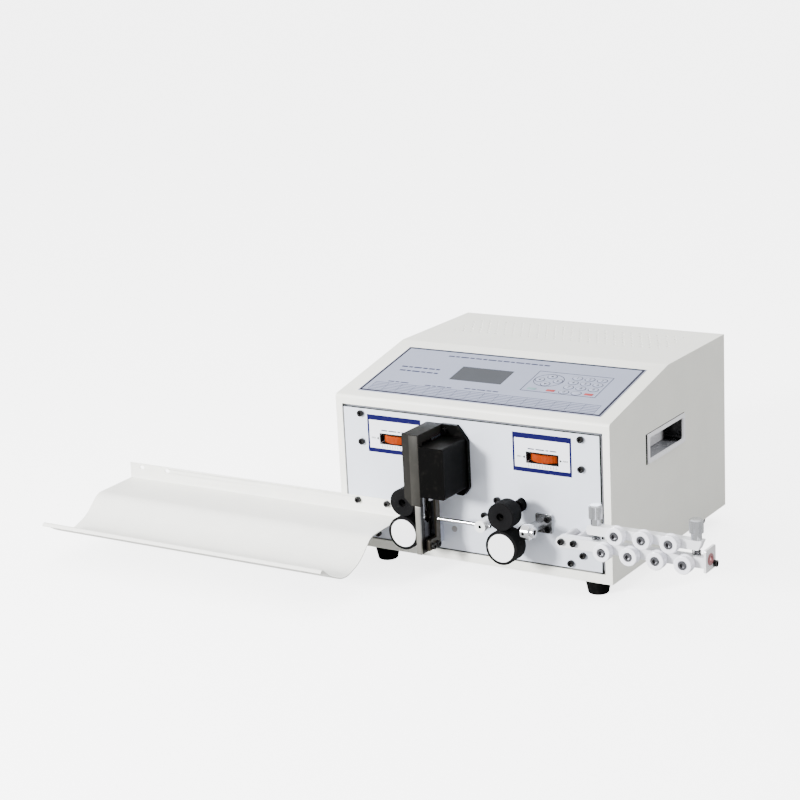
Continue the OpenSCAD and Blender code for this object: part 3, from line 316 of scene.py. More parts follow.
@dataclass(frozen=True)
class Finish:
    """One surface finish.

    Attributes:
        name: Name of the material.
        color: Main colour, linear.
        roughness: Middle roughness.
        metallic: 1 for bare metal.
        grain: Relief it shows.
        depth: Depth of the relief in millimetres.
        blotch: Share by which the colour varies in large patches.
        grime: Colour that gathers low down and in patches.
        grime_share: Strength of that colour.
        coat: Weight of a clear coat.
        specular: Level of the surface's own reflection.
        shades: Darker parts of it, painted shade or a part's own dark colour.
        centre: X and Z of the axis, for turned and knurled finishes.
        lip: Radius beyond which dark rubber laps over a turned face, or 0.
    """

    name: str
    color: Color
    roughness: float
    metallic: float = 0.0
    grain: Grain = Grain.PAINT
    depth: float = 0.02
    blotch: float = 0.04
    grime: Color = (0.20, 0.18, 0.15)
    grime_share: float = 0.05
    coat: float = 0.0
    specular: float = 0.5
    shades: tuple[Shade, ...] = ()
    centre: Pair = (0.0, 0.0)
    lip: float = 0.0

    def relief(self, graph: Graph) -> Value:
        """Height field of the grain.

        Args:
            graph: Graph that it is added to.

        Returns:
            Height, about 0 to 1.
        """
        if self.grain is Grain.GROUND:
            across, along = (graph.noise(GRIND, 3, s) for s in ((1, SHORT, 1), (1, 1, SHORT)))
            return across * 0.5 + along * 0.5
        if self.grain in NOISES:
            return graph.noise(*NOISES[self.grain])
        return self.round_relief(graph)

    def local(self, graph: Graph) -> list[Value]:
        """X, Y and Z about the finish's own axis, along Y."""
        return graph.axes(graph.stretched(EVEN, (self.centre[0], 0, self.centre[1])))

    def radius(self, graph: Graph) -> Value:
        """Distance from the finish's own axis, in metres."""
        x, _, z = self.local(graph)
        flat = graph.node("ShaderNodeCombineXYZ", None, {0: x, 2: z})
        return graph.node("ShaderNodeVectorMath", {"operation": "LENGTH"}, {0: flat}, output="Value")

    def turn(self, graph: Graph) -> Value:
        """Angle about the finish's own axis, in radians."""
        x, _, z = self.local(graph)
        return graph.node("ShaderNodeMath", {"operation": "ARCTAN2"}, {0: z, 1: x})

    def round_relief(self, graph: Graph) -> Value:
        """Height field about the finish's own axis.

        Args:
            graph: Graph that it is added to.

        Returns:
            Height, about 0 to 1.
        """
        if self.grain is Grain.TURNED:
            rings = (self.radius(graph) * (math.tau / RING_PITCH)).sine()
            return rings * 0.35 + graph.noise(0.3 * MM, 2) * 0.3 + 0.35
        along = self.local(graph)[1] * (math.tau / KNURL_PITCH)
        around = self.turn(graph) * KNURL_TEETH
        return (along + around).sine().most((along - around).sine()) * 0.5 + 0.5

    def build(self) -> bpy.types.Material:
        """Makes the node material.

        Returns:
            The material.
        """
        graph = Graph(self.name)
        height = self.relief(graph)
        patches = graph.noise(PATCH, 3)
        scuffs = graph.noise(SCUFF, 4).ramp(0.52, 0.78)
        dark = tuple(c * (1 - self.blotch) for c in self.color)
        light = tuple(min(1.0, c * (1 + self.blotch)) for c in self.color)
        tint = graph.mix(patches.ramp(0.3, 0.7), dark, light)
        low = 1 - graph.axes()[2].ramp(0, SOIL_HEIGHT)
        tint = graph.mix((low * 0.6 + 0.4) * scuffs * self.grime_share, tint, self.grime)
        # shades: painted shade in recesses and on set-back faces, or a part's own dark colour
        for shade in self.shades:
            tint = shade.over(graph, tint)
        # painted sheen: light and dark reflection sectors of turned faces, painted into the colour
        if self.grain is Grain.TURNED:
            tint = graph.mix(self.sheen(graph) * 0.3, tint, (0.95, 0.95, 0.95))
        if self.lip:
            beyond = self.radius(graph).ramp(self.lip, self.lip + 0.1 * MM)
            tint = graph.mix(beyond, tint, srgb(6, 6, 6))
        rough = height * 0.06 + scuffs * 0.08 + (self.roughness - 0.06)
        return graph.surface(Base_Color=tint, Roughness=rough, Metallic=self.metallic,
                             Coat_Weight=self.coat, Specular_IOR_Level=self.specular,
                             Normal=graph.bump(height, self.depth * MM))

    def sheen(self, graph: Graph) -> Value:
        """Painted sheen: light and dark reflection sectors of a turned face, painted into its colour, 0
        to 1.
        """
        return (self.turn(graph) * 2 + 0.9).sine() * 0.5 + 0.5


@dataclass(frozen=True)
class Display:
    """Grey display with a fine grid of dots behind its glass."""

    name: str = "display_glass"
    color: Color = srgb(42, 46, 53)
    edge: Color = srgb(36, 40, 48)
    dot: float = 0.55 * MM

    def build(self) -> bpy.types.Material:
        """Makes the node material.

        Returns:
            The material.
        """
        graph = Graph(self.name)
        x, y, _ = ((axis * (math.tau / self.dot)).sine() for axis in graph.axes())
        grid = x.most(y).ramp(0.9, 1.0)
        shade = graph.noise(40 * MM, 1).ramp(0.35, 0.65)
        tint = graph.mix(shade, self.color, tuple(c * 1.12 for c in self.color))
        tint = graph.mix(grid * 0.25, tint, self.edge)
        rough = graph.noise(9 * MM, 2) * 0.08 + 0.2
        return graph.surface(Base_Color=tint, Roughness=rough, Specular_IOR_Level=0.15)


def ink(name: str, color: Color, roughness: float = 0.36, blotch: float = 0.04,
        specular: float = 0.06) -> Finish:
    """Finish of thin print."""
    return Finish(name, color, roughness, 0.0, Grain.SMOOTH, 0.005, blotch, specular=specular)


CABINET_PAINT = Finish("cabinet_paint", srgb(242, 242, 234), 0.46, depth=0.03, blotch=0.015)
PANEL_PAINT = Finish("panel_plate", srgb(216, 221, 232), 0.40, 0.2, Grain.PAINT, 0.015, 0.02)
PLATED_SHEET = Finish("plated_sheet", srgb(178, 178, 176), 0.42, 0.9, Grain.GROUND, 0.01, 0.06)
FOOT_RUBBER = Finish("foot_rubber", srgb(8, 8, 8), 0.78, 0.0, Grain.MOULDED, 0.04, 0.10,
                     srgb(60, 58, 54), 0.10, specular=0.05)
BLACK_SCREW = Finish("black_screw", srgb(7, 7, 8), 0.30, 0.0, Grain.GROUND, 0.01, 0.12,
                     specular=0.25)
AXLE_STEEL = Finish("axle_steel", srgb(104, 104, 108), 0.26, 0.9, Grain.GROUND, 0.01, 0.08)
ZINC_PLATE = Finish("zinc_plate", srgb(170, 168, 170), 0.34, 0.3, Grain.GROUND, 0.008, 0.05)
BRIGHT_STEEL = Finish("bright_steel", srgb(186, 186, 188), 0.28, 1.0, Grain.GROUND, 0.008, 0.05)
# Handle moulding: its shades are painted shade in the recess, grey on the floor and black towards the
# rear.
HANDLE_PLASTIC = Finish("handle_moulding", srgb(250, 250, 254), 0.28, 0.0, Grain.MOULDED, 0.01, 0.01,
                        shades=(Shade(0, 199.6 * MM, 198 * MM, srgb(120, 122, 126),
                                      (2, 133.6 * MM, 132.2 * MM)),
                                Shade(0, 199.6 * MM, 198 * MM, srgb(10, 10, 12),
                                      (1, 188 * MM, 202 * MM))))
MEMBRANE = Finish("membrane_film", srgb(134, 140, 162), 0.36, 0.0, Grain.MOULDED, 0.012, 0.02)
BOARD = Finish("circuit_board", srgb(28, 92, 48), 0.42, 0.0, Grain.SMOOTH, 0.01, 0.10)
VARNISH = Finish("varnished_iron", srgb(96, 74, 56), 0.45, 0.4, Grain.BRUSHED_Z, 0.05, 0.12)
MOTOR_BLACK = Finish("motor_black", srgb(38, 38, 40), 0.45, 0.1, Grain.MOULDED, 0.02, 0.10,
                     specular=0.3)
INLET_BLACK = Finish("inlet_moulding", srgb(9, 9, 9), 0.44, 0.0, Grain.MOULDED, 0.02, 0.08,
                     specular=0.1)
ROCKER_RED = Finish("rocker_red", srgb(170, 32, 28), 0.28, 0.0, Grain.SMOOTH, 0.01, 0.06, coat=0.3)
TRAY_PAINT = Finish("tray_paint", srgb(242, 242, 236), 0.38, depth=0.02, blotch=0.015)
COLUMN_STEEL = Finish("column_steel", srgb(34, 33, 31), 0.56, 0.1, Grain.BRUSHED_Z, 0.015, 0.12,
                      specular=0.05, shades=(Shade(2, COLUMN_TOP - 0.4 * MM, COLUMN_TOP - 0.1 * MM),))
COLUMN_STRIP = Finish("column_strip", srgb(48, 47, 44), 0.46, 0.15, Grain.BRUSHED_Z, 0.02, 0.22,
                      specular=0.1)
# Knife guide: the first shade is painted shade on its faces set back from the front; the second gives
# its foot the panel's colour.
GUIDE_STEEL = Finish("guide_steel", srgb(146, 144, 138), 0.38, 0.85, Grain.BRUSHED_Z, 0.012, 0.08,
                     shades=(Shade(1, -60.5 * MM, -58 * MM, srgb(22, 21, 19)),
                             Shade(1, -19.9 * MM, -19.6 * MM, srgb(204, 208, 220))))
SLIDE_STEEL = Finish("slide_steel", srgb(60, 55, 46), 0.42, 0.6, Grain.BRUSHED_Z, 0.012, 0.12,
                     shades=(Shade(0, 31.78 * MM, 31.7 * MM), Shade(0, 36.05 * MM, 36.3 * MM)))
COVER_BLACK = Finish("cover_moulding", srgb(4, 4, 4), 0.42, 0.0, Grain.MOULDED, 0.03, 0.10,
                     specular=0.03)
BLADE_STEEL = Finish("blade_steel", srgb(150, 150, 152), 0.18, 1.0, Grain.BRUSHED_X, 0.006, 0.04)
BLADE_DARK = Finish("blade_dark", srgb(44, 44, 46), 0.24, 1.0, Grain.BRUSHED_X, 0.006, 0.06)
ALLOY = Finish("machined_alloy", srgb(182, 184, 188), 0.34, 0.9, Grain.GROUND, 0.01, 0.05)
BRACKET_ALLOY = Finish("bracket_alloy", srgb(190, 191, 194), 0.20, 0.85, Grain.GROUND, 0.002, 0.05)
WHEEL_RUBBER = Finish("wheel_rubber", srgb(15, 15, 16), 0.74, 0.0, Grain.KNURLED, 0.25, 0.10,
                      srgb(50, 49, 47), 0.06, specular=0.05)
SHAFT_BLACK = Finish("shaft_black", srgb(5, 5, 5), 0.80, 0.0, Grain.GROUND, 0.01, 0.10,
                     specular=0.03)
CAP_ALLOY = Finish("cap_alloy", srgb(250, 250, 252), 0.34, 0.0, Grain.TURNED, 0.012, 0.02)
DIAL_ORANGE = Finish("dial_orange", srgb(144, 50, 0), 0.30, 0.0, Grain.SMOOTH, 0.01, 0.16,
                     specular=0.15)
HUB_ALLOY = Finish("hub_alloy", srgb(236, 236, 238), 0.30, 0.2, Grain.TURNED, 0.01, 0.05)
BAR_PAINT = Finish("bar_paint", srgb(226, 227, 230), 0.36, 0.1, Grain.PAINT, 0.02, 0.03)
ROLLER_WHITE = Finish("roller_white", srgb(238, 238, 246), 0.26, 0.0, Grain.SMOOTH, 0.01, 0.02,
                      coat=0.3)
SATIN_CHROME = Finish("satin_chrome", srgb(208, 208, 210), 0.16, 1.0, Grain.SMOOTH, 0.006, 0.03)
THUMB_CHROME = Finish("thumb_chrome", srgb(192, 194, 197), 0.14, 1.0, Grain.BRUSHED_Z, 0.05, 0.06)
SPRING_STEEL = Finish("spring_steel", srgb(60, 60, 62), 0.30, 0.9, Grain.SMOOTH, 0.006, 0.06)
CERAMIC = Finish("eye_ceramic", srgb(146, 88, 92), 0.18, 0.0, Grain.SMOOTH, 0.01, 0.06, coat=0.3)
PRINT_BLUE = ink("print_blue", srgb(12, 8, 64), 0.34, 0.03, 0.08)
PRINT_WHITE = ink("print_white", srgb(232, 234, 240), 0.34, 0.02, 0.5)
PRINT_SLATE = ink("print_slate", srgb(12, 12, 34))
PRINT_GREY = ink("print_grey", srgb(44, 46, 70))
PRINT_DARK = ink("print_dark", srgb(16, 17, 24))
PRINT_RED = ink("print_red", srgb(150, 44, 46), 0.34, 0.04, 0.15)
PRINT_GREEN = ink("print_green", srgb(112, 142, 146), 0.34, 0.04, 0.15)
KEY_FILM = Finish("key_film", srgb(142, 148, 170), 0.34, 0.0, Grain.MOULDED, 0.01, 0.02)
# Black of the dial trim and window lining, and of the painted shadow strips.
TRIM_AND_SHADOW_BLACK = Finish("trim_and_shadow_black", srgb(7, 7, 7), 0.40, 0.0, Grain.MOULDED, 0.01, 0.06,
                    specular=0.06)


class Palette:
    """Materials that have been made, one for each finish."""

    _made: dict[Any, bpy.types.Material] = {}

    @classmethod
    def get(cls, finish: Finish | Display) -> bpy.types.Material:
        """Material of a finish, made the first time it is asked for."""
        if finish not in cls._made:
            cls._made[finish] = finish.build()
        return cls._made[finish]


class Workshop:
    """Blender's operators, used as hand tools on one piece at a time."""

    @staticmethod
    def clear() -> None:
        """Leaves edit mode with nothing selected."""
        if bpy.context.mode != "OBJECT":
            bpy.ops.object.mode_set(mode="OBJECT")
        bpy.ops.object.select_all(action="DESELECT")

    @classmethod
    def take(cls, *pieces: Piece) -> None:
        """Selects these pieces alone and makes the first one active."""
        cls.clear()
        for piece in pieces:
            piece.select_set(True)
        bpy.context.view_layer.objects.active = pieces[0]

    @classmethod
    def sheet(cls, u: Floats, v: Floats) -> Piece:
        """Flat rectangle on the local XY plane.

        Args:
            u: Low and high X.
            v: Low and high Y.

        Returns:
            The piece.
        """
        cls.clear()
        bpy.ops.mesh.primitive_plane_add(size=1, location=((u[0] + u[1]) / 2, (v[0] + v[1]) / 2, 0))
        piece = bpy.context.object
        piece.scale = (u[1] - u[0], v[1] - v[0], 1)
        bpy.ops.object.transform_apply()
        return piece

    @classmethod
    def cut_window(cls, piece: Piece, u: Floats, v: Floats) -> None:
        """Cuts a rectangular window out of a flat sheet.

        Args:
            piece: The sheet.
            u: Low and high X of the window.
            v: Low and high Y of the window.
        """
        cls.take(piece)
        bpy.ops.object.mode_set(mode="EDIT")
        for place, normal in [((x, 0, 0), (1, 0, 0)) for x in u] + [((0, y, 0), (0, 1, 0)) for y in v]:
            bpy.ops.mesh.select_all(action="SELECT")
            bpy.ops.mesh.bisect(plane_co=place, plane_no=normal)
        bpy.ops.mesh.select_mode(type="FACE")
        bpy.ops.mesh.select_all(action="DESELECT")
        bpy.ops.object.mode_set(mode="OBJECT")
        for face in piece.data.polygons:
            face.select = u[0] < face.center.x < u[1] and v[0] < face.center.y < v[1]
        bpy.ops.object.mode_set(mode="EDIT")
        bpy.ops.mesh.delete(type="FACE")
        bpy.ops.object.mode_set(mode="OBJECT")

    @classmethod
    def disc(cls, centre: Floats, radii: Floats, hole: float = 0.0,
             sides: int = 36) -> Piece:
        """Flat ellipse, or a ring of even width.

        Args:
            centre: X and Y of its middle.
            radii: Half its length on X and on Y.
            hole: Width of the ring, or 0 for a full disc.
            sides: Number of corners.

        Returns:
            The piece.
        """
        cls.clear()
        bpy.ops.mesh.primitive_circle_add(vertices=sides, radius=1, fill_type="NGON",
                                          location=(*centre, 0))
        piece = bpy.context.object
        piece.scale = (radii[0], radii[1], 1)
        bpy.ops.object.transform_apply()
        if hole:
            bpy.ops.object.mode_set(mode="EDIT")
            bpy.ops.mesh.select_all(action="SELECT")
            bpy.ops.mesh.inset(thickness=hole)
            bpy.ops.mesh.delete(type="FACE")
            bpy.ops.object.mode_set(mode="OBJECT")
        return piece

    @classmethod
    def letters(cls, words: str, centre: Floats, size: float) -> Piece:
        """Flat generic lettering.

        Args:
            words: What it says.
            centre: X and Y of its middle.
            size: Height of the type.

        Returns:
            The piece, as a mesh.
        """
        cls.clear()
        bpy.ops.object.text_add()
        piece = bpy.context.object
        piece.data.body = words
        piece.data.size = size
        piece.data.align_x = "CENTER"
        piece.data.align_y = "CENTER"
        piece.data.resolution_u = 3
        bpy.ops.object.convert(target="MESH")
        piece = bpy.context.object
        piece.location = (*centre, 0)
        bpy.ops.object.transform_apply()
        return piece

    @classmethod
    def thicken(cls, piece: Piece, height: float, bevel: float = 0.0) -> None:
        """Gives a flat piece its height, and a round rim if asked.

        Args:
            piece: The flat piece.
            height: Height above its plane.
            bevel: Width of the rounded rim.
        """
        cls.take(piece)
        solid = piece.modifiers.new("height", "SOLIDIFY")
        solid.thickness = height
        solid.offset = 1
        bpy.ops.object.modifier_apply(modifier=solid.name)
        if bevel:
            rim = piece.modifiers.new("rim", "BEVEL")
            rim.width = bevel
            rim.segments = 2
            rim.limit_method = "ANGLE"
            bpy.ops.object.modifier_apply(modifier=rim.name)

    @classmethod
    def gather(cls, name: str, pieces: Iterable[Piece]) -> Piece:
        """Joins pieces of one finish into one.

        Args:
            name: Name of the joined piece.
            pieces: What is joined.

        Returns:
            The joined piece.
        """
        group = list(pieces)
        cls.take(*group)
        if len(group) > 1:
            bpy.ops.object.join()
        piece = bpy.context.object
        piece.name = piece.data.name = name
        return piece

    @classmethod
    def dress(cls, piece: Piece, place: Matrix, finish: Finish, slot: str) -> None:
        """Puts a finished piece in the row frame and gives it its finish.

        Args:
            piece: The piece, made about the local origin.
            place: From its own plane to the row frame.
            finish: Its finish.
            slot: The record's material slot; not used.
        """
        cls.take(piece)
        piece.matrix_world = place @ piece.matrix_world
        bpy.ops.object.transform_apply()
        bpy.ops.object.shade_smooth_by_angle(angle=math.radians(35))
        piece.data.materials.clear()
        piece.data.materials.append(Palette.get(finish))

    @classmethod
    def lay(cls, name: str, pieces: list[Piece], height: float, place: Matrix,
            finish: Finish, slot: str, rim: float = 0.0, body: str = BODY) -> None:
        """Joins flat pieces, gives them their height and makes them ride in their place.

        Args:
            name: Name of the joined piece.
            pieces: Flat shapes of one finish.
            height: Height above their plane.
            place: From their plane to the row frame.
            finish: Their finish.
            slot: The record's material slot, passed on and not used.
            rim: Width of a rounded rim.
            body: CAD body that it moves with.
        """
        piece = cls.gather(name, pieces)
        cls.thicken(piece, height, rim)
        cls.dress(piece, place, finish, slot)
        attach(piece, body)
        log.info("piece %s rides on %s", name, body)


@dataclass
class CadDress:
    """Finishes and soft edges of the CAD nodes.

    Attributes:
        finishes: Finish of each node.
        edges: Nodes with rounded edges, by the edge's width in millimetres.
        bright: Share of a wheel cap's radius that is bright.
    """

    finishes: dict[str, Finish | Display] = field(default_factory=lambda: {
        "cabinet_shell": CABINET_PAINT, "base_chassis": PLATED_SHEET, "rear_panel": CABINET_PAINT,
        "front_panel": PANEL_PAINT, "feet": FOOT_RUBBER, "socket_screws": BLACK_SCREW,
        "standoffs": ZINC_PLATE, "side_handles": HANDLE_PLASTIC, "membrane_panel": MEMBRANE,
        "lcd_module": Display(), "control_board": BOARD, "transformer": VARNISH,
        "stepper_motors": MOTOR_BLACK, "power_inlet": INLET_BLACK, "power_rocker": ROCKER_RED,
        "wire_tray": TRAY_PAINT, "cutter_column": COLUMN_STEEL, "knife_guide": GUIDE_STEEL,
        "knife_cover": COVER_BLACK, "knife_pinion": BRIGHT_STEEL, "upper_knife_slide": COLUMN_STEEL,
        "upper_blade": BLADE_STEEL, "lower_knife_slide": SLIDE_STEEL, "lower_blade": BLADE_DARK,
        "feed_frames": ALLOY, "tube_solenoid": MOTOR_BLACK, "tube_hub": HUB_ALLOY,
        "guide_tube": SATIN_CHROME, "inlet_bracket": BRACKET_ALLOY, "inlet_nozzle": SATIN_CHROME,
        "straightener_rail": BAR_PAINT, "rail_axles": AXLE_STEEL, "straightener_jaw": BAR_PAINT,
        "jaw_axles": AXLE_STEEL, "jaw_springs": SPRING_STEEL, "inner_thumbscrew": THUMB_CHROME,
        "outer_thumbscrew": THUMB_CHROME, "eye_plate": HUB_ALLOY, "ceramic_eye": CERAMIC,
    })
    edges: dict[float, tuple[str, ...]] = field(default_factory=lambda: {
        0.9: ("cabinet_shell", "knife_cover"), 0.7: ("side_handles", "cutter_column"),
        0.6: ("front_panel", "straightener_rail", "straightener_jaw"),
        0.5: ("knife_guide", "inlet_bracket", "eye_plate", "tube_hub"),
        0.4: ("lower_knife_slide", "upper_knife_slide", "socket_screws", "power_inlet", "power_rocker"),
        0.3: ("wire_tray",), 0.2: ("membrane_panel",),
    })
    bright: float = 0.957

    def __post_init__(self) -> None:
        """Adds the nodes that come in pairs and sets."""
        for side in ("left", "right"):
            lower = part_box(f"{side}_drive_wheel")
            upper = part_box(f"{side}_pressure_wheel")
            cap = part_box(f"{side}_wheel_cap")
            lip = (cap[1].x - cap[0].x) / 2 * self.bright
            pieces = {
                "drive_wheel": self.about(WHEEL_RUBBER, f"{side}_drive_rubber", lower),
                "wheel_cap": self.about(CAP_ALLOY, f"{side}_cap_alloy", lower, lip),
                "pressure_wheel": self.about(WHEEL_RUBBER, f"{side}_press_rubber", upper),
                "drive_shaft": BRIGHT_STEEL, "pressure_shaft": SHAFT_BLACK,
                "carriage": ALLOY, "dial": DIAL_ORANGE,
            }
            self.finishes.update({f"{side}_{name}": finish for name, finish in pieces.items()})
        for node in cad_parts:
            if node.startswith(("lower_roller", "upper_roller")):
                self.finishes[node] = ROLLER_WHITE

    @staticmethod
    def about(finish: Finish, name: str, box: tuple[Vector, Vector], lip: float = 0.0) -> Finish:
        """Copies a finish with its axis in the middle of a box.

        Args:
            finish: Finish to copy.
            name: Name of the copy.
            box: Box of the node that it dresses.
            lip: Radius of a dark lip on it, or 0.

        Returns:
            The copy.
        """
        middle = (box[0] + box[1]) / 2
        return replace(finish, name=name, centre=(middle.x, middle.z), lip=lip)

    def dress(self) -> None:
        """Gives every CAD node its material and its soft edges."""
        widths = {name: width * MM for width, names in self.edges.items() for name in names}
        for name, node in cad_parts.items():
            material = Palette.get(self.finishes[name])
            node.data.materials.clear()
            node.data.materials.append(material)
            if name in widths:
                self.soften(node, widths[name])
            log.info("node %s is %s", name, material.name)

    @staticmethod
    def soften(node: Piece, width: float) -> None:
        """Rounds a node's sharp edges, without touching its mesh.

        Args:
            node: The CAD node.
            width: Width of the rounded edge.
        """
        weld = node.modifiers.new("weld", "WELD")
        weld.merge_threshold = 0.002 * MM
        rim = node.modifiers.new("rim", "BEVEL")
        rim.width = width
        rim.segments = 2
        rim.limit_method = "ANGLE"
        rim.angle_limit = math.radians(40)
        rim.harden_normals = True


@dataclass
class ControlFace:
    """Printed membrane on the sloping face: border, key pad, ruled table and blank lines.

    Attributes:
        front_z: Height of the slope's front edge.
        rise: Height that the slope gains.
        run: Level depth of the slope.
        skin: Thickness of the membrane.
        ink: Height of the print.
        u: Low and high X of the membrane.
        v: Low and high distance up the slope of the membrane.
        pad_u: Low and high X of the key pad.
        pad_v: Its low and high distance up the slope.
        key: Half the length and height of a number key.
        arrow_key: The same of an arrow key.
        line: Width of the keys' outlines and of the table's lines.
    """

    front_z: float = 206.5 * MM
    rise: float = 35 * MM
    run: float = 171 * MM
    skin: float = 0.8 * MM
    ink: float = 0.06 * MM
    u: Pair = (-175 * MM, 180 * MM)
    v: Pair = (17 * MM, 153 * MM)
    pad_u: Pair = (43 * MM, 150 * MM)
    pad_v: Pair = (63 * MM, 121 * MM)
    key: Pair = (6.4 * MM, 4.6 * MM)
    arrow_key: Pair = (6 * MM, 5 * MM)
    line: float = 0.9 * MM

    def place(self) -> Matrix:
        """From the membrane's own plane to the row frame."""
        tilt = math.atan2(self.rise, self.run)
        foot = Matrix.Translation(HOME + Vector((0, 0, self.front_z)))
        return foot @ Matrix.Rotation(tilt, 4, "X") @ Matrix.Translation((0, 0, self.skin))

    def framed(self, u: Floats, v: Floats, width: float) -> Piece:
        """Flat frame of even width inside a rectangle.

        Args:
            u: Low and high X.
            v: Low and high Y.
            width: Width of the line.

        Returns:
            The piece.
        """
        piece = Workshop.sheet(u, v)
        Workshop.cut_window(piece, (u[0] + width, u[1] - width), (v[0] + width, v[1] - width))
        return piece

    def border(self) -> None:
        """Dark line round the membrane, and the thin line round the key pad."""
        inset, wide, thin = 1 * MM, 3.2 * MM, 1 * MM
        u, v = ((low + inset, high - inset) for low, high in (self.u, self.v))
        outer = self.framed(u, v, wide)
        pad = self.framed(self.pad_u, self.pad_v, thin)
        self.print_on("membrane_border", [outer, pad], PRINT_SLATE)

    def print_on(self, name: str, pieces: list[Piece], finish: Finish,
                 height: float = 0.0, rim: float = 0.0) -> None:
        """Lays flat pieces on the membrane, as high as the ink if no height is given."""
        Workshop.lay(name, pieces, height or self.ink, self.place(), finish, "membrane", rim)

    def key_spots(self) -> list[tuple[str, float, float]]:
        """Number keys with their places."""
        columns = (103 * MM, 120.5 * MM, 138 * MM)
        rows = (110 * MM, 97 * MM, 83.5 * MM)
        spots = [(str(1 + i + 3 * j), x, y) for j, y in enumerate(rows) for i, x in enumerate(columns)]
        return spots + [("0", columns[0], 70 * MM)]

    def keys(self) -> None:
        """Low domed keys, their outlines and their numbers."""
        spots = self.key_spots()
        plain = (120.5 * MM, 70 * MM)
        middle, reach, ring = (68 * MM, 97 * MM), (13 * MM, 10.5 * MM), (21 * MM, 17.5 * MM)
        four = [(middle[0] + reach[0] * a, middle[1] + reach[1] * b)
                for a, b in ((1, 0), (-1, 0), (0, 1), (0, -1))]
        keys = [((x, y), self.key) for _, x, y in spots] + [(plain, self.key)]
        keys += [(spot, self.arrow_key) for spot in four]
        domes = [Workshop.disc(spot, radii) for spot, radii in keys]
        self.print_on("membrane_keys", domes, KEY_FILM, 0.35 * MM, 0.15 * MM)
        outlines = [Workshop.disc(spot, [r + self.line for r in radii], self.line)
                    for spot, radii in keys]
        outlines.append(Workshop.disc(middle, ring, self.line))
        self.print_on("key_outlines", outlines, PRINT_SLATE)
        marks = [Workshop.letters(word, (x, y), 7.5 * MM) for word, x, y in spots]
        marks += [self.arrow(spot, middle) for spot in four]
        self.print_on("key_numbers", marks, PRINT_DARK, 0.41 * MM)
        long, tall, row = 6 * MM, 2.6 * MM, 70 * MM
        for name, places, finish in (("red_keys", (84 * MM, 138 * MM), PRINT_RED),
                                     ("green_key", (57 * MM,), PRINT_GREEN)):
            bars = [Workshop.sheet((x - long, x + long), (row - tall, row + tall)) for x in places]
            self.print_on(name, bars, finish, 0.3 * MM, 0.1 * MM)

    def arrow(self, spot: Floats, middle: Floats) -> Piece:
        """Small triangle that points away from the middle of the pad.

        Args:
            spot: Place of the triangle.
            middle: Middle of the four keys.

        Returns:
            The piece.
        """
        piece = Workshop.disc((0, 0), (2.6 * MM, 2.6 * MM), sides=3)
        turn = math.atan2(spot[1] - middle[1], spot[0] - middle[0]) - math.pi / 2
        piece.rotation_euler = (0, 0, turn)
        piece.location = (*spot, 0)
        bpy.ops.object.transform_apply()
        return piece

    def ruled_table(self) -> None:
        """Fine ruled table along the front edge, with its ticks."""
        u = (self.u[0] + 12 * MM, self.u[1] - 12 * MM)
        rows = [self.v[0] + (6 + 4.2 * k) * MM for k in range(6)]
        tick, count = 0.25 * MM, 16
        bars = [Workshop.sheet(u, (y, y + self.line)) for y in rows]
        for k in range(count + 1):
            x = u[0] + (u[1] - u[0]) * k / count
            bars.append(Workshop.sheet((x - tick, x + tick), (rows[0], rows[-1] + self.line)))
        self.print_on("ruled_table", bars, PRINT_GREY)

    def blank_lines(self) -> None:
        """Plain dashes that hold the places of printed lines."""
        lines = [((-104, 49), 137, 3.0), ((-153, -90), 95, 3.2), ((-150, -88), 84, 3.2),
                 ((-147, -115), 49.5, 2.2), ((-90, -50), 48.5, 2.2), ((-32, 18), 51.5, 2.2)]
        dashes, gap = (9, 6, 12, 7), 2
        sheets = []
        for (start, end), y, tall in lines:
            rise = ((y - tall / 2) * MM, (y + tall / 2) * MM)
            k = 0
            while start < end - gap:
                stop = min(end, start + dashes[k % len(dashes)])
                sheets.append(Workshop.sheet((start * MM, stop * MM), rise))
                start, k = stop + gap, k + 1
        self.print_on("blank_lines", sheets, PRINT_GREY)

    def build(self) -> None:
        """Makes all the print on the face."""
        self.border()
        self.keys()
        self.ruled_table()
        self.blank_lines()


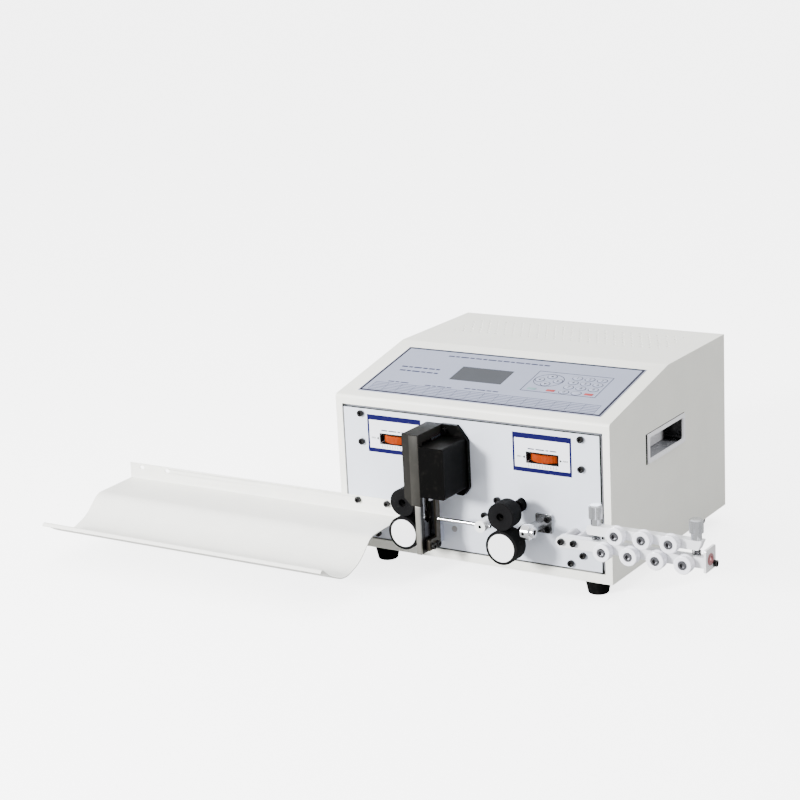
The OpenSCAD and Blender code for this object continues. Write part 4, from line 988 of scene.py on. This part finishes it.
@dataclass
class DialPlate:
    """Printed plate round one pressure dial.

    Attributes:
        side: Left or right.
        u: Low and high X of the plate.
        dial_x: Middle of the dial.
        v: Low and high Z of the plate.
        dial_z: Height of the dial.
        window: Half the length and height of the dial's window.
        ink: Height of one layer of print.
    """

    side: str
    u: Pair
    dial_x: float
    v: Pair = (133.4 * MM, 184 * MM)
    dial_z: float = 152.6 * MM
    window: Pair = (21.5 * MM, 5.85 * MM)
    ink: float = 0.12 * MM

    def place(self, layer: int) -> Matrix:
        """From the plate's own plane to the front panel's face, above some layers of print."""
        return Matrix.Translation(HOME - Vector((0, layer * self.ink, 0))) @ UPRIGHT

    def slot(self, grow: float) -> tuple[Pair, Pair]:
        """Low and high X and Z of the dial's window with a margin round it."""
        u, v = self.window[0] + grow, self.window[1] + grow
        return (self.dial_x - u, self.dial_x + u), (self.dial_z - v, self.dial_z + v)

    def lay(self, name: str, pieces: list[Piece], finish: Finish, layer: int) -> None:
        """Lays flat pieces on the panel, above some layers of print."""
        Workshop.lay(f"{self.side}_{name}", pieces, self.ink, self.place(layer), finish, "panel_paint")

    def build(self) -> None:
        """Makes the plate, its bands, the window's trim and the scale."""
        plate = Workshop.sheet(self.u, self.v)
        Workshop.cut_window(plate, *self.slot(0.3 * MM))
        self.lay("dial_plate", [plate], PRINT_WHITE, 0)
        bands = Workshop.sheet(self.u, self.v)
        side, foot, head = 2.6 * MM, 5.6 * MM, 7 * MM
        Workshop.cut_window(bands, (self.u[0] + side, self.u[1] - side),
                            (self.v[0] + foot, self.v[1] - head))
        self.lay("dial_bands", [bands], PRINT_BLUE, 1)
        trim = Workshop.sheet(*self.slot(1.5 * MM))
        Workshop.cut_window(trim, *self.slot(-0.45 * MM))
        self.lay("dial_trim", [trim], TRIM_AND_SHADOW_BLACK, 1)
        self.lining()
        self.lay("dial_scale", self.scale(), PRINT_DARK, 1)
        rise = (self.dial_z + 10.6 * MM, self.dial_z + 12 * MM)
        words = ((-20, -11), (-9, 3), (5, 9), (11, 20))
        bars = [Workshop.sheet([self.dial_x + end * MM for end in word], rise) for word in words]
        self.lay("dial_title", bars, PRINT_GREY, 1)

    def lining(self) -> None:
        """Black frame inside the window, clear of the dial."""
        deep = 6.5 * MM
        wall = Workshop.sheet(*self.slot(-0.02 * MM))
        Workshop.cut_window(wall, *self.slot(-0.5 * MM))
        place = Matrix.Translation((0, deep, 0)) @ self.place(0)
        Workshop.lay(f"{self.side}_dial_lining", [wall], deep, place, TRIM_AND_SHADOW_BLACK, "panel_paint")

    def scale(self) -> list[Piece]:
        """Numbers under the window, arrows and end words beside it.

        Returns:
            The flat pieces.
        """
        marks = []
        for k in range(11):
            x = self.dial_x + (k - 5) * 3.9 * MM
            tick = (self.dial_z - 9.6 * MM, self.dial_z - 8 * MM)
            marks.append(Workshop.sheet((x - 0.2 * MM, x + 0.2 * MM), tick))
            marks.append(Workshop.letters(str(k), (x, self.dial_z - 11.2 * MM), 3 * MM))
        for sign, word in ((-1, "MIN"), (1, "MAX")):
            x = self.dial_x + sign * 25.5 * MM
            tip = Workshop.disc((0, 0), (2.2 * MM, 2.2 * MM), sides=3)
            tip.rotation_euler = (0, 0, -sign * math.pi / 2)
            tip.location = (x, self.dial_z, 0)
            bpy.ops.object.transform_apply()
            marks += [tip, Workshop.letters(word, (x + sign * 7 * MM, self.dial_z), 3.4 * MM)]
        return marks


@dataclass
class Gaps:
    """Painted shadow strips: dark lines laid over the front panel's right and top edges, where a real
    gap lies, and painted shadow in front of and above the side handles' proud bezels.

    Attributes:
        handle_y: Low and high Y of a handle, from the panel's foot.
        handle_z: Its low and high Z.
        gap: Width of the painted shadow in front of a handle.
        ink: Height of the dark line, clear of the soft edges beneath.
    """

    handle_y: Pair = (105 * MM, 217.5 * MM)
    handle_z: Pair = (127 * MM, 166 * MM)
    gap: float = 4 * MM
    ink: float = 0.3 * MM

    def build(self) -> None:
        """Makes the painted shadow strips."""
        low, high = PANEL
        right, edge, thin, upper = high.x - 1.8 * MM, -0.35 * MM, 1.1 * MM, 0.9 * MM
        # Painted shade over the panel's right and top edges, widening the dark line of the real gap
        # beside them.
        strips = [Workshop.sheet((right, high.x - edge), (low.z + edge, high.z - edge)),
                  Workshop.sheet((low.x + edge, right), (high.z - thin, high.z - edge))]
        face = Matrix.Translation((0, low.y, 0)) @ UPRIGHT
        Workshop.lay("panel_edge_shadow", strips, self.ink, face, TRIM_AND_SHADOW_BLACK, "panel_paint")
        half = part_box("cabinet_shell")[1].x - HOME.x
        front = self.handle_y[0]
        # Painted shadow of each handle's proud bezel, in front of it and along its top.
        for name, sign in (("right_handle_shadow", 1), ("left_handle_shadow", -1)):
            turn = Matrix(((0, 0, sign), (sign, 0, 0), (0, 1, 0))).to_4x4()
            spans = [sorted((sign * (front - self.gap), sign * rear)) for rear in self.handle_y]
            heights = [self.handle_z, (self.handle_z[1], self.handle_z[1] + upper)]
            strips = [Workshop.sheet(u, v) for u, v in zip(spans, heights)]
            side = Matrix.Translation(HOME + Vector((sign * half, 0, 0))) @ turn
            Workshop.lay(name, strips, self.ink, side, TRIM_AND_SHADOW_BLACK, "cabinet_paint")


@dataclass
class CutterTrim:
    """Facing strip of the cutter column, and the black screws in the hub and the nozzle.

    Attributes:
        split: Share of the column's width left of the strip.
        thick: Thickness of the strip.
        hub: X, Y and Z of the bottom of the hub's socket, from the panel's foot.
        hub_screw: Radius and length of the screw in it.
        nozzle: X, Y and Z of the bottom of the nozzle's screw hole.
        nozzle_screw: Radius and length of the screw in it.
    """

    split: float = 0.43
    thick: float = 0.45 * MM
    hub: tuple[float, float, float] = (43 * MM, -48.1 * MM, 71 * MM)
    hub_screw: Pair = (2.44 * MM, 3.95 * MM)
    nozzle: tuple[float, float, float] = (105 * MM, -49.1 * MM, 71 * MM)
    nozzle_screw: Pair = (1.9 * MM, 4.7 * MM)

    def screw(self, name: str, foot: Floats, size: Floats, sides: int, body: str) -> None:
        """Makes one black screw that faces the front.

        Args:
            name: Name of the piece.
            foot: X, Y and Z of its rear end, from the panel's foot.
            size: Its radius and its length.
            sides: Corners of its outline.
            body: CAD body that it moves with.
        """
        end = Workshop.disc((0, 0), (size[0], size[0]), sides=sides)
        place = Matrix.Translation(HOME + Vector(foot)) @ UPRIGHT
        Workshop.lay(name, [end], size[1], place, SHAFT_BLACK, "black_screws", 0.2 * MM, body)

    def build(self) -> None:
        """Makes the strip and both screws."""
        low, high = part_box("cutter_column")
        edge, foot, head = 0.5 * MM, 0.6 * MM, 0.8 * MM
        strip = Workshop.sheet((low.x + (high.x - low.x) * self.split, high.x - edge),
                               (low.z + foot, high.z - head))
        face = Matrix.Translation((0, low.y, 0)) @ UPRIGHT
        Workshop.lay("column_strip", [strip], self.thick, face, COLUMN_STRIP, "column_steel", 0.15 * MM)
        self.screw("hub_socket", self.hub, self.hub_screw, 6, "swing_guide")
        self.screw("nozzle_screw", self.nozzle, self.nozzle_screw, 24, BODY)


@dataclass
class JawSprings:
    """Two coil springs that carry the straightener's jaw.

    Attributes:
        wire: Radius of the wire.
        turns: Number of coils.
        steps: Corners in one coil.
        sides: Corners round the wire.
    """

    wire: float = 0.6 * MM
    turns: int = 3
    steps: int = 28
    sides: int = 10

    def coil(self, outer: float, height: float) -> Piece:
        """Winds one spring about the local Z axis.

        Args:
            outer: Outer radius of the spring.
            height: Height over its ends.

        Returns:
            The piece, with its foot at zero.
        """
        Workshop.clear()
        bpy.ops.mesh.primitive_circle_add(vertices=self.sides, radius=self.wire,
                                          rotation=(math.pi / 2, 0, 0),
                                          location=(outer - self.wire, 0, self.wire))
        piece = bpy.context.object
        bpy.ops.object.transform_apply()
        sweep = piece.modifiers.new("sweep", "SCREW")
        sweep.axis = "Z"
        sweep.iterations = self.turns
        sweep.steps = sweep.render_steps = self.steps
        sweep.screw_offset = (height - 2 * self.wire) / self.turns
        bpy.ops.object.modifier_apply(modifier=sweep.name)
        bpy.ops.object.mode_set(mode="EDIT")
        bpy.ops.mesh.select_all(action="SELECT")
        bpy.ops.mesh.fill_holes(sides=0)
        bpy.ops.mesh.select_all(action="SELECT")
        bpy.ops.mesh.normals_make_consistent(inside=False)
        bpy.ops.object.mode_set(mode="OBJECT")
        return piece

    def build(self) -> None:
        """Makes both springs in the place of their CAD node."""
        low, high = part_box("jaw_springs")
        outer = (high.y - low.y) / 2
        first = self.coil(outer, high.z - low.z)
        Workshop.take(first)
        bpy.ops.object.duplicate()
        second = bpy.context.object
        second.location.x += high.x - low.x - 2 * outer
        piece = Workshop.gather("jaw_coils", [first, second])
        foot = Vector((low.x + outer, low.y + outer, low.z))
        Workshop.dress(piece, Matrix.Translation(foot), SPRING_STEEL, "spring_steel")
        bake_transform(piece)
        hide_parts("jaw_springs")
        log.info("piece %s spans %s and jaw", piece.name, BODY)


@dataclass
class Studio:
    """Pale floor, soft light and the camera at the photograph's angle.

    Attributes:
        azimuth: Degrees to the right of straight in front.
        elevation: Degrees above level.
        roll: Degrees that the picture is turned.
        distance: From the target.
        target: Point in the middle of the picture.
        lens: Focal length.
        sensor: Width of the sensor.
        sight: How far the camera sees.
        ground: Width of the floor.
        sky: Strength of the room light.
        sky_right: Its strength low on the right.
        glow: Light that the floor itself gives to the camera.
        backdrop: Light of the wall behind the floor, for the camera alone.
    """

    azimuth: float = 32.92
    elevation: float = 14.94
    roll: float = -2.96
    distance: float = 2547.59 * MM
    target: tuple[float, float, float] = (-99.25 * MM, 0.0, 207.96 * MM)
    lens: float = 88.88
    sensor: float = 36
    sight: float = 60
    ground: float = 40
    sky: float = 2.1
    sky_right: float = 0.35
    glow: float = 3.5
    backdrop: float = 5.3

    def camera(self) -> None:
        """Makes the camera."""
        a, e, r = (math.radians(k) for k in (self.azimuth, self.elevation, self.roll))
        back = Vector((math.sin(a) * math.cos(e), -math.cos(a) * math.cos(e), math.sin(e)))
        right = Vector((math.cos(a), math.sin(a), 0))
        up = back.cross(right)
        across = right * math.cos(r) + up * math.sin(r)
        above = up * math.cos(r) - right * math.sin(r)
        Workshop.clear()
        bpy.ops.object.camera_add()
        camera = bpy.context.object
        camera.data.lens = self.lens
        camera.data.sensor_width = self.sensor
        camera.data.clip_end = self.sight
        turn = Matrix((across, above, back)).transposed().to_4x4()
        place = HOME + Vector(self.target) + back * self.distance
        camera.matrix_world = Matrix.Translation(place) @ turn
        bpy.context.scene.camera = camera

    def floor(self) -> None:
        """Makes a large pale floor that throws little light back up."""
        Workshop.clear()
        bpy.ops.mesh.primitive_plane_add(size=self.ground)
        ground = bpy.context.object
        ground.name = "floor"
        graph = Graph("pale_floor")
        tint = graph.mix(graph.noise(0.6, 2), (0.95, 0.95, 0.95), (0.98, 0.98, 0.98))
        seen = graph.node("ShaderNodeBsdfPrincipled", None, {
            "Base Color": tint, "Roughness": 0.9,
            "Emission Color": (1, 1, 1, 1), "Emission Strength": self.glow})
        felt = graph.node("ShaderNodeBsdfDiffuse", None, {"Color": (0.38, 0.38, 0.38, 1)})
        direct = graph.node("ShaderNodeLightPath", output="Is Camera Ray")
        graph.node_output(graph.node("ShaderNodeMixShader", None, {0: direct, 1: felt, 2: seen}))
        ground.data.materials.append(graph.material)

    def lamp(self, name: str, place: Floats, power: float, size: float) -> None:
        """Adds a soft lamp that faces the machine.

        Args:
            name: Name of the lamp.
            place: Where it stands.
            power: Watts.
            size: Width of its square.
        """
        Workshop.clear()
        bpy.ops.object.light_add(type="AREA", location=place)
        lamp = bpy.context.object
        lamp.name = name
        lamp.data.energy = power
        lamp.data.size = size
        aim = HOME + Vector((0, 0.1, 0.1)) - Vector(place)
        lamp.rotation_euler = aim.to_track_quat("-Z", "Y").to_euler()

    def light(self) -> None:
        """Sets the room light and the lamps."""
        room = RoomGraph("studio")
        x, _, z = room.axes(room.node("ShaderNodeTexCoord", output="Generated"))
        dim = x.span((-0.3, 0.7), (0.0, 1.0)) * z.span((0.15, 0.75), (1.0, 0.0))
        felt = dim.span((0.0, 1.0), (self.sky, self.sky_right))
        direct = room.node("ShaderNodeLightPath", output="Is Camera Ray")
        strength = room.node("ShaderNodeMix", None, {0: direct, 2: felt, 3: self.backdrop})
        sky = room.tree.nodes["Background"]
        sky.inputs["Color"].default_value = (1.0, 1.0, 1.0, 1)
        room.tree.links.new(strength.socket, sky.inputs["Strength"])
        self.lamp("key", (-1.1, -2.6, 1.0), 225, 0.5)
        self.lamp("top", (0.0, 0.6, 3.0), 20, 2.4)

    def build(self) -> None:
        """Makes the whole studio."""
        self.camera()
        self.floor()
        self.light()


def main() -> None:
    """Builds the machine's looks."""
    logging.basicConfig(level=logging.INFO, format="%(message)s")
    Studio().build()
    CadDress().dress()
    ControlFace().build()
    DialPlate("right", (64.8 * MM, 147.5 * MM), 106.5 * MM).build()
    DialPlate("left", (-151.7 * MM, -70 * MM), -110.5 * MM).build()
    Gaps().build()
    CutterTrim().build()
    JawSprings().build()
    Workshop.clear()


if __name__ == "__main__":
    main()
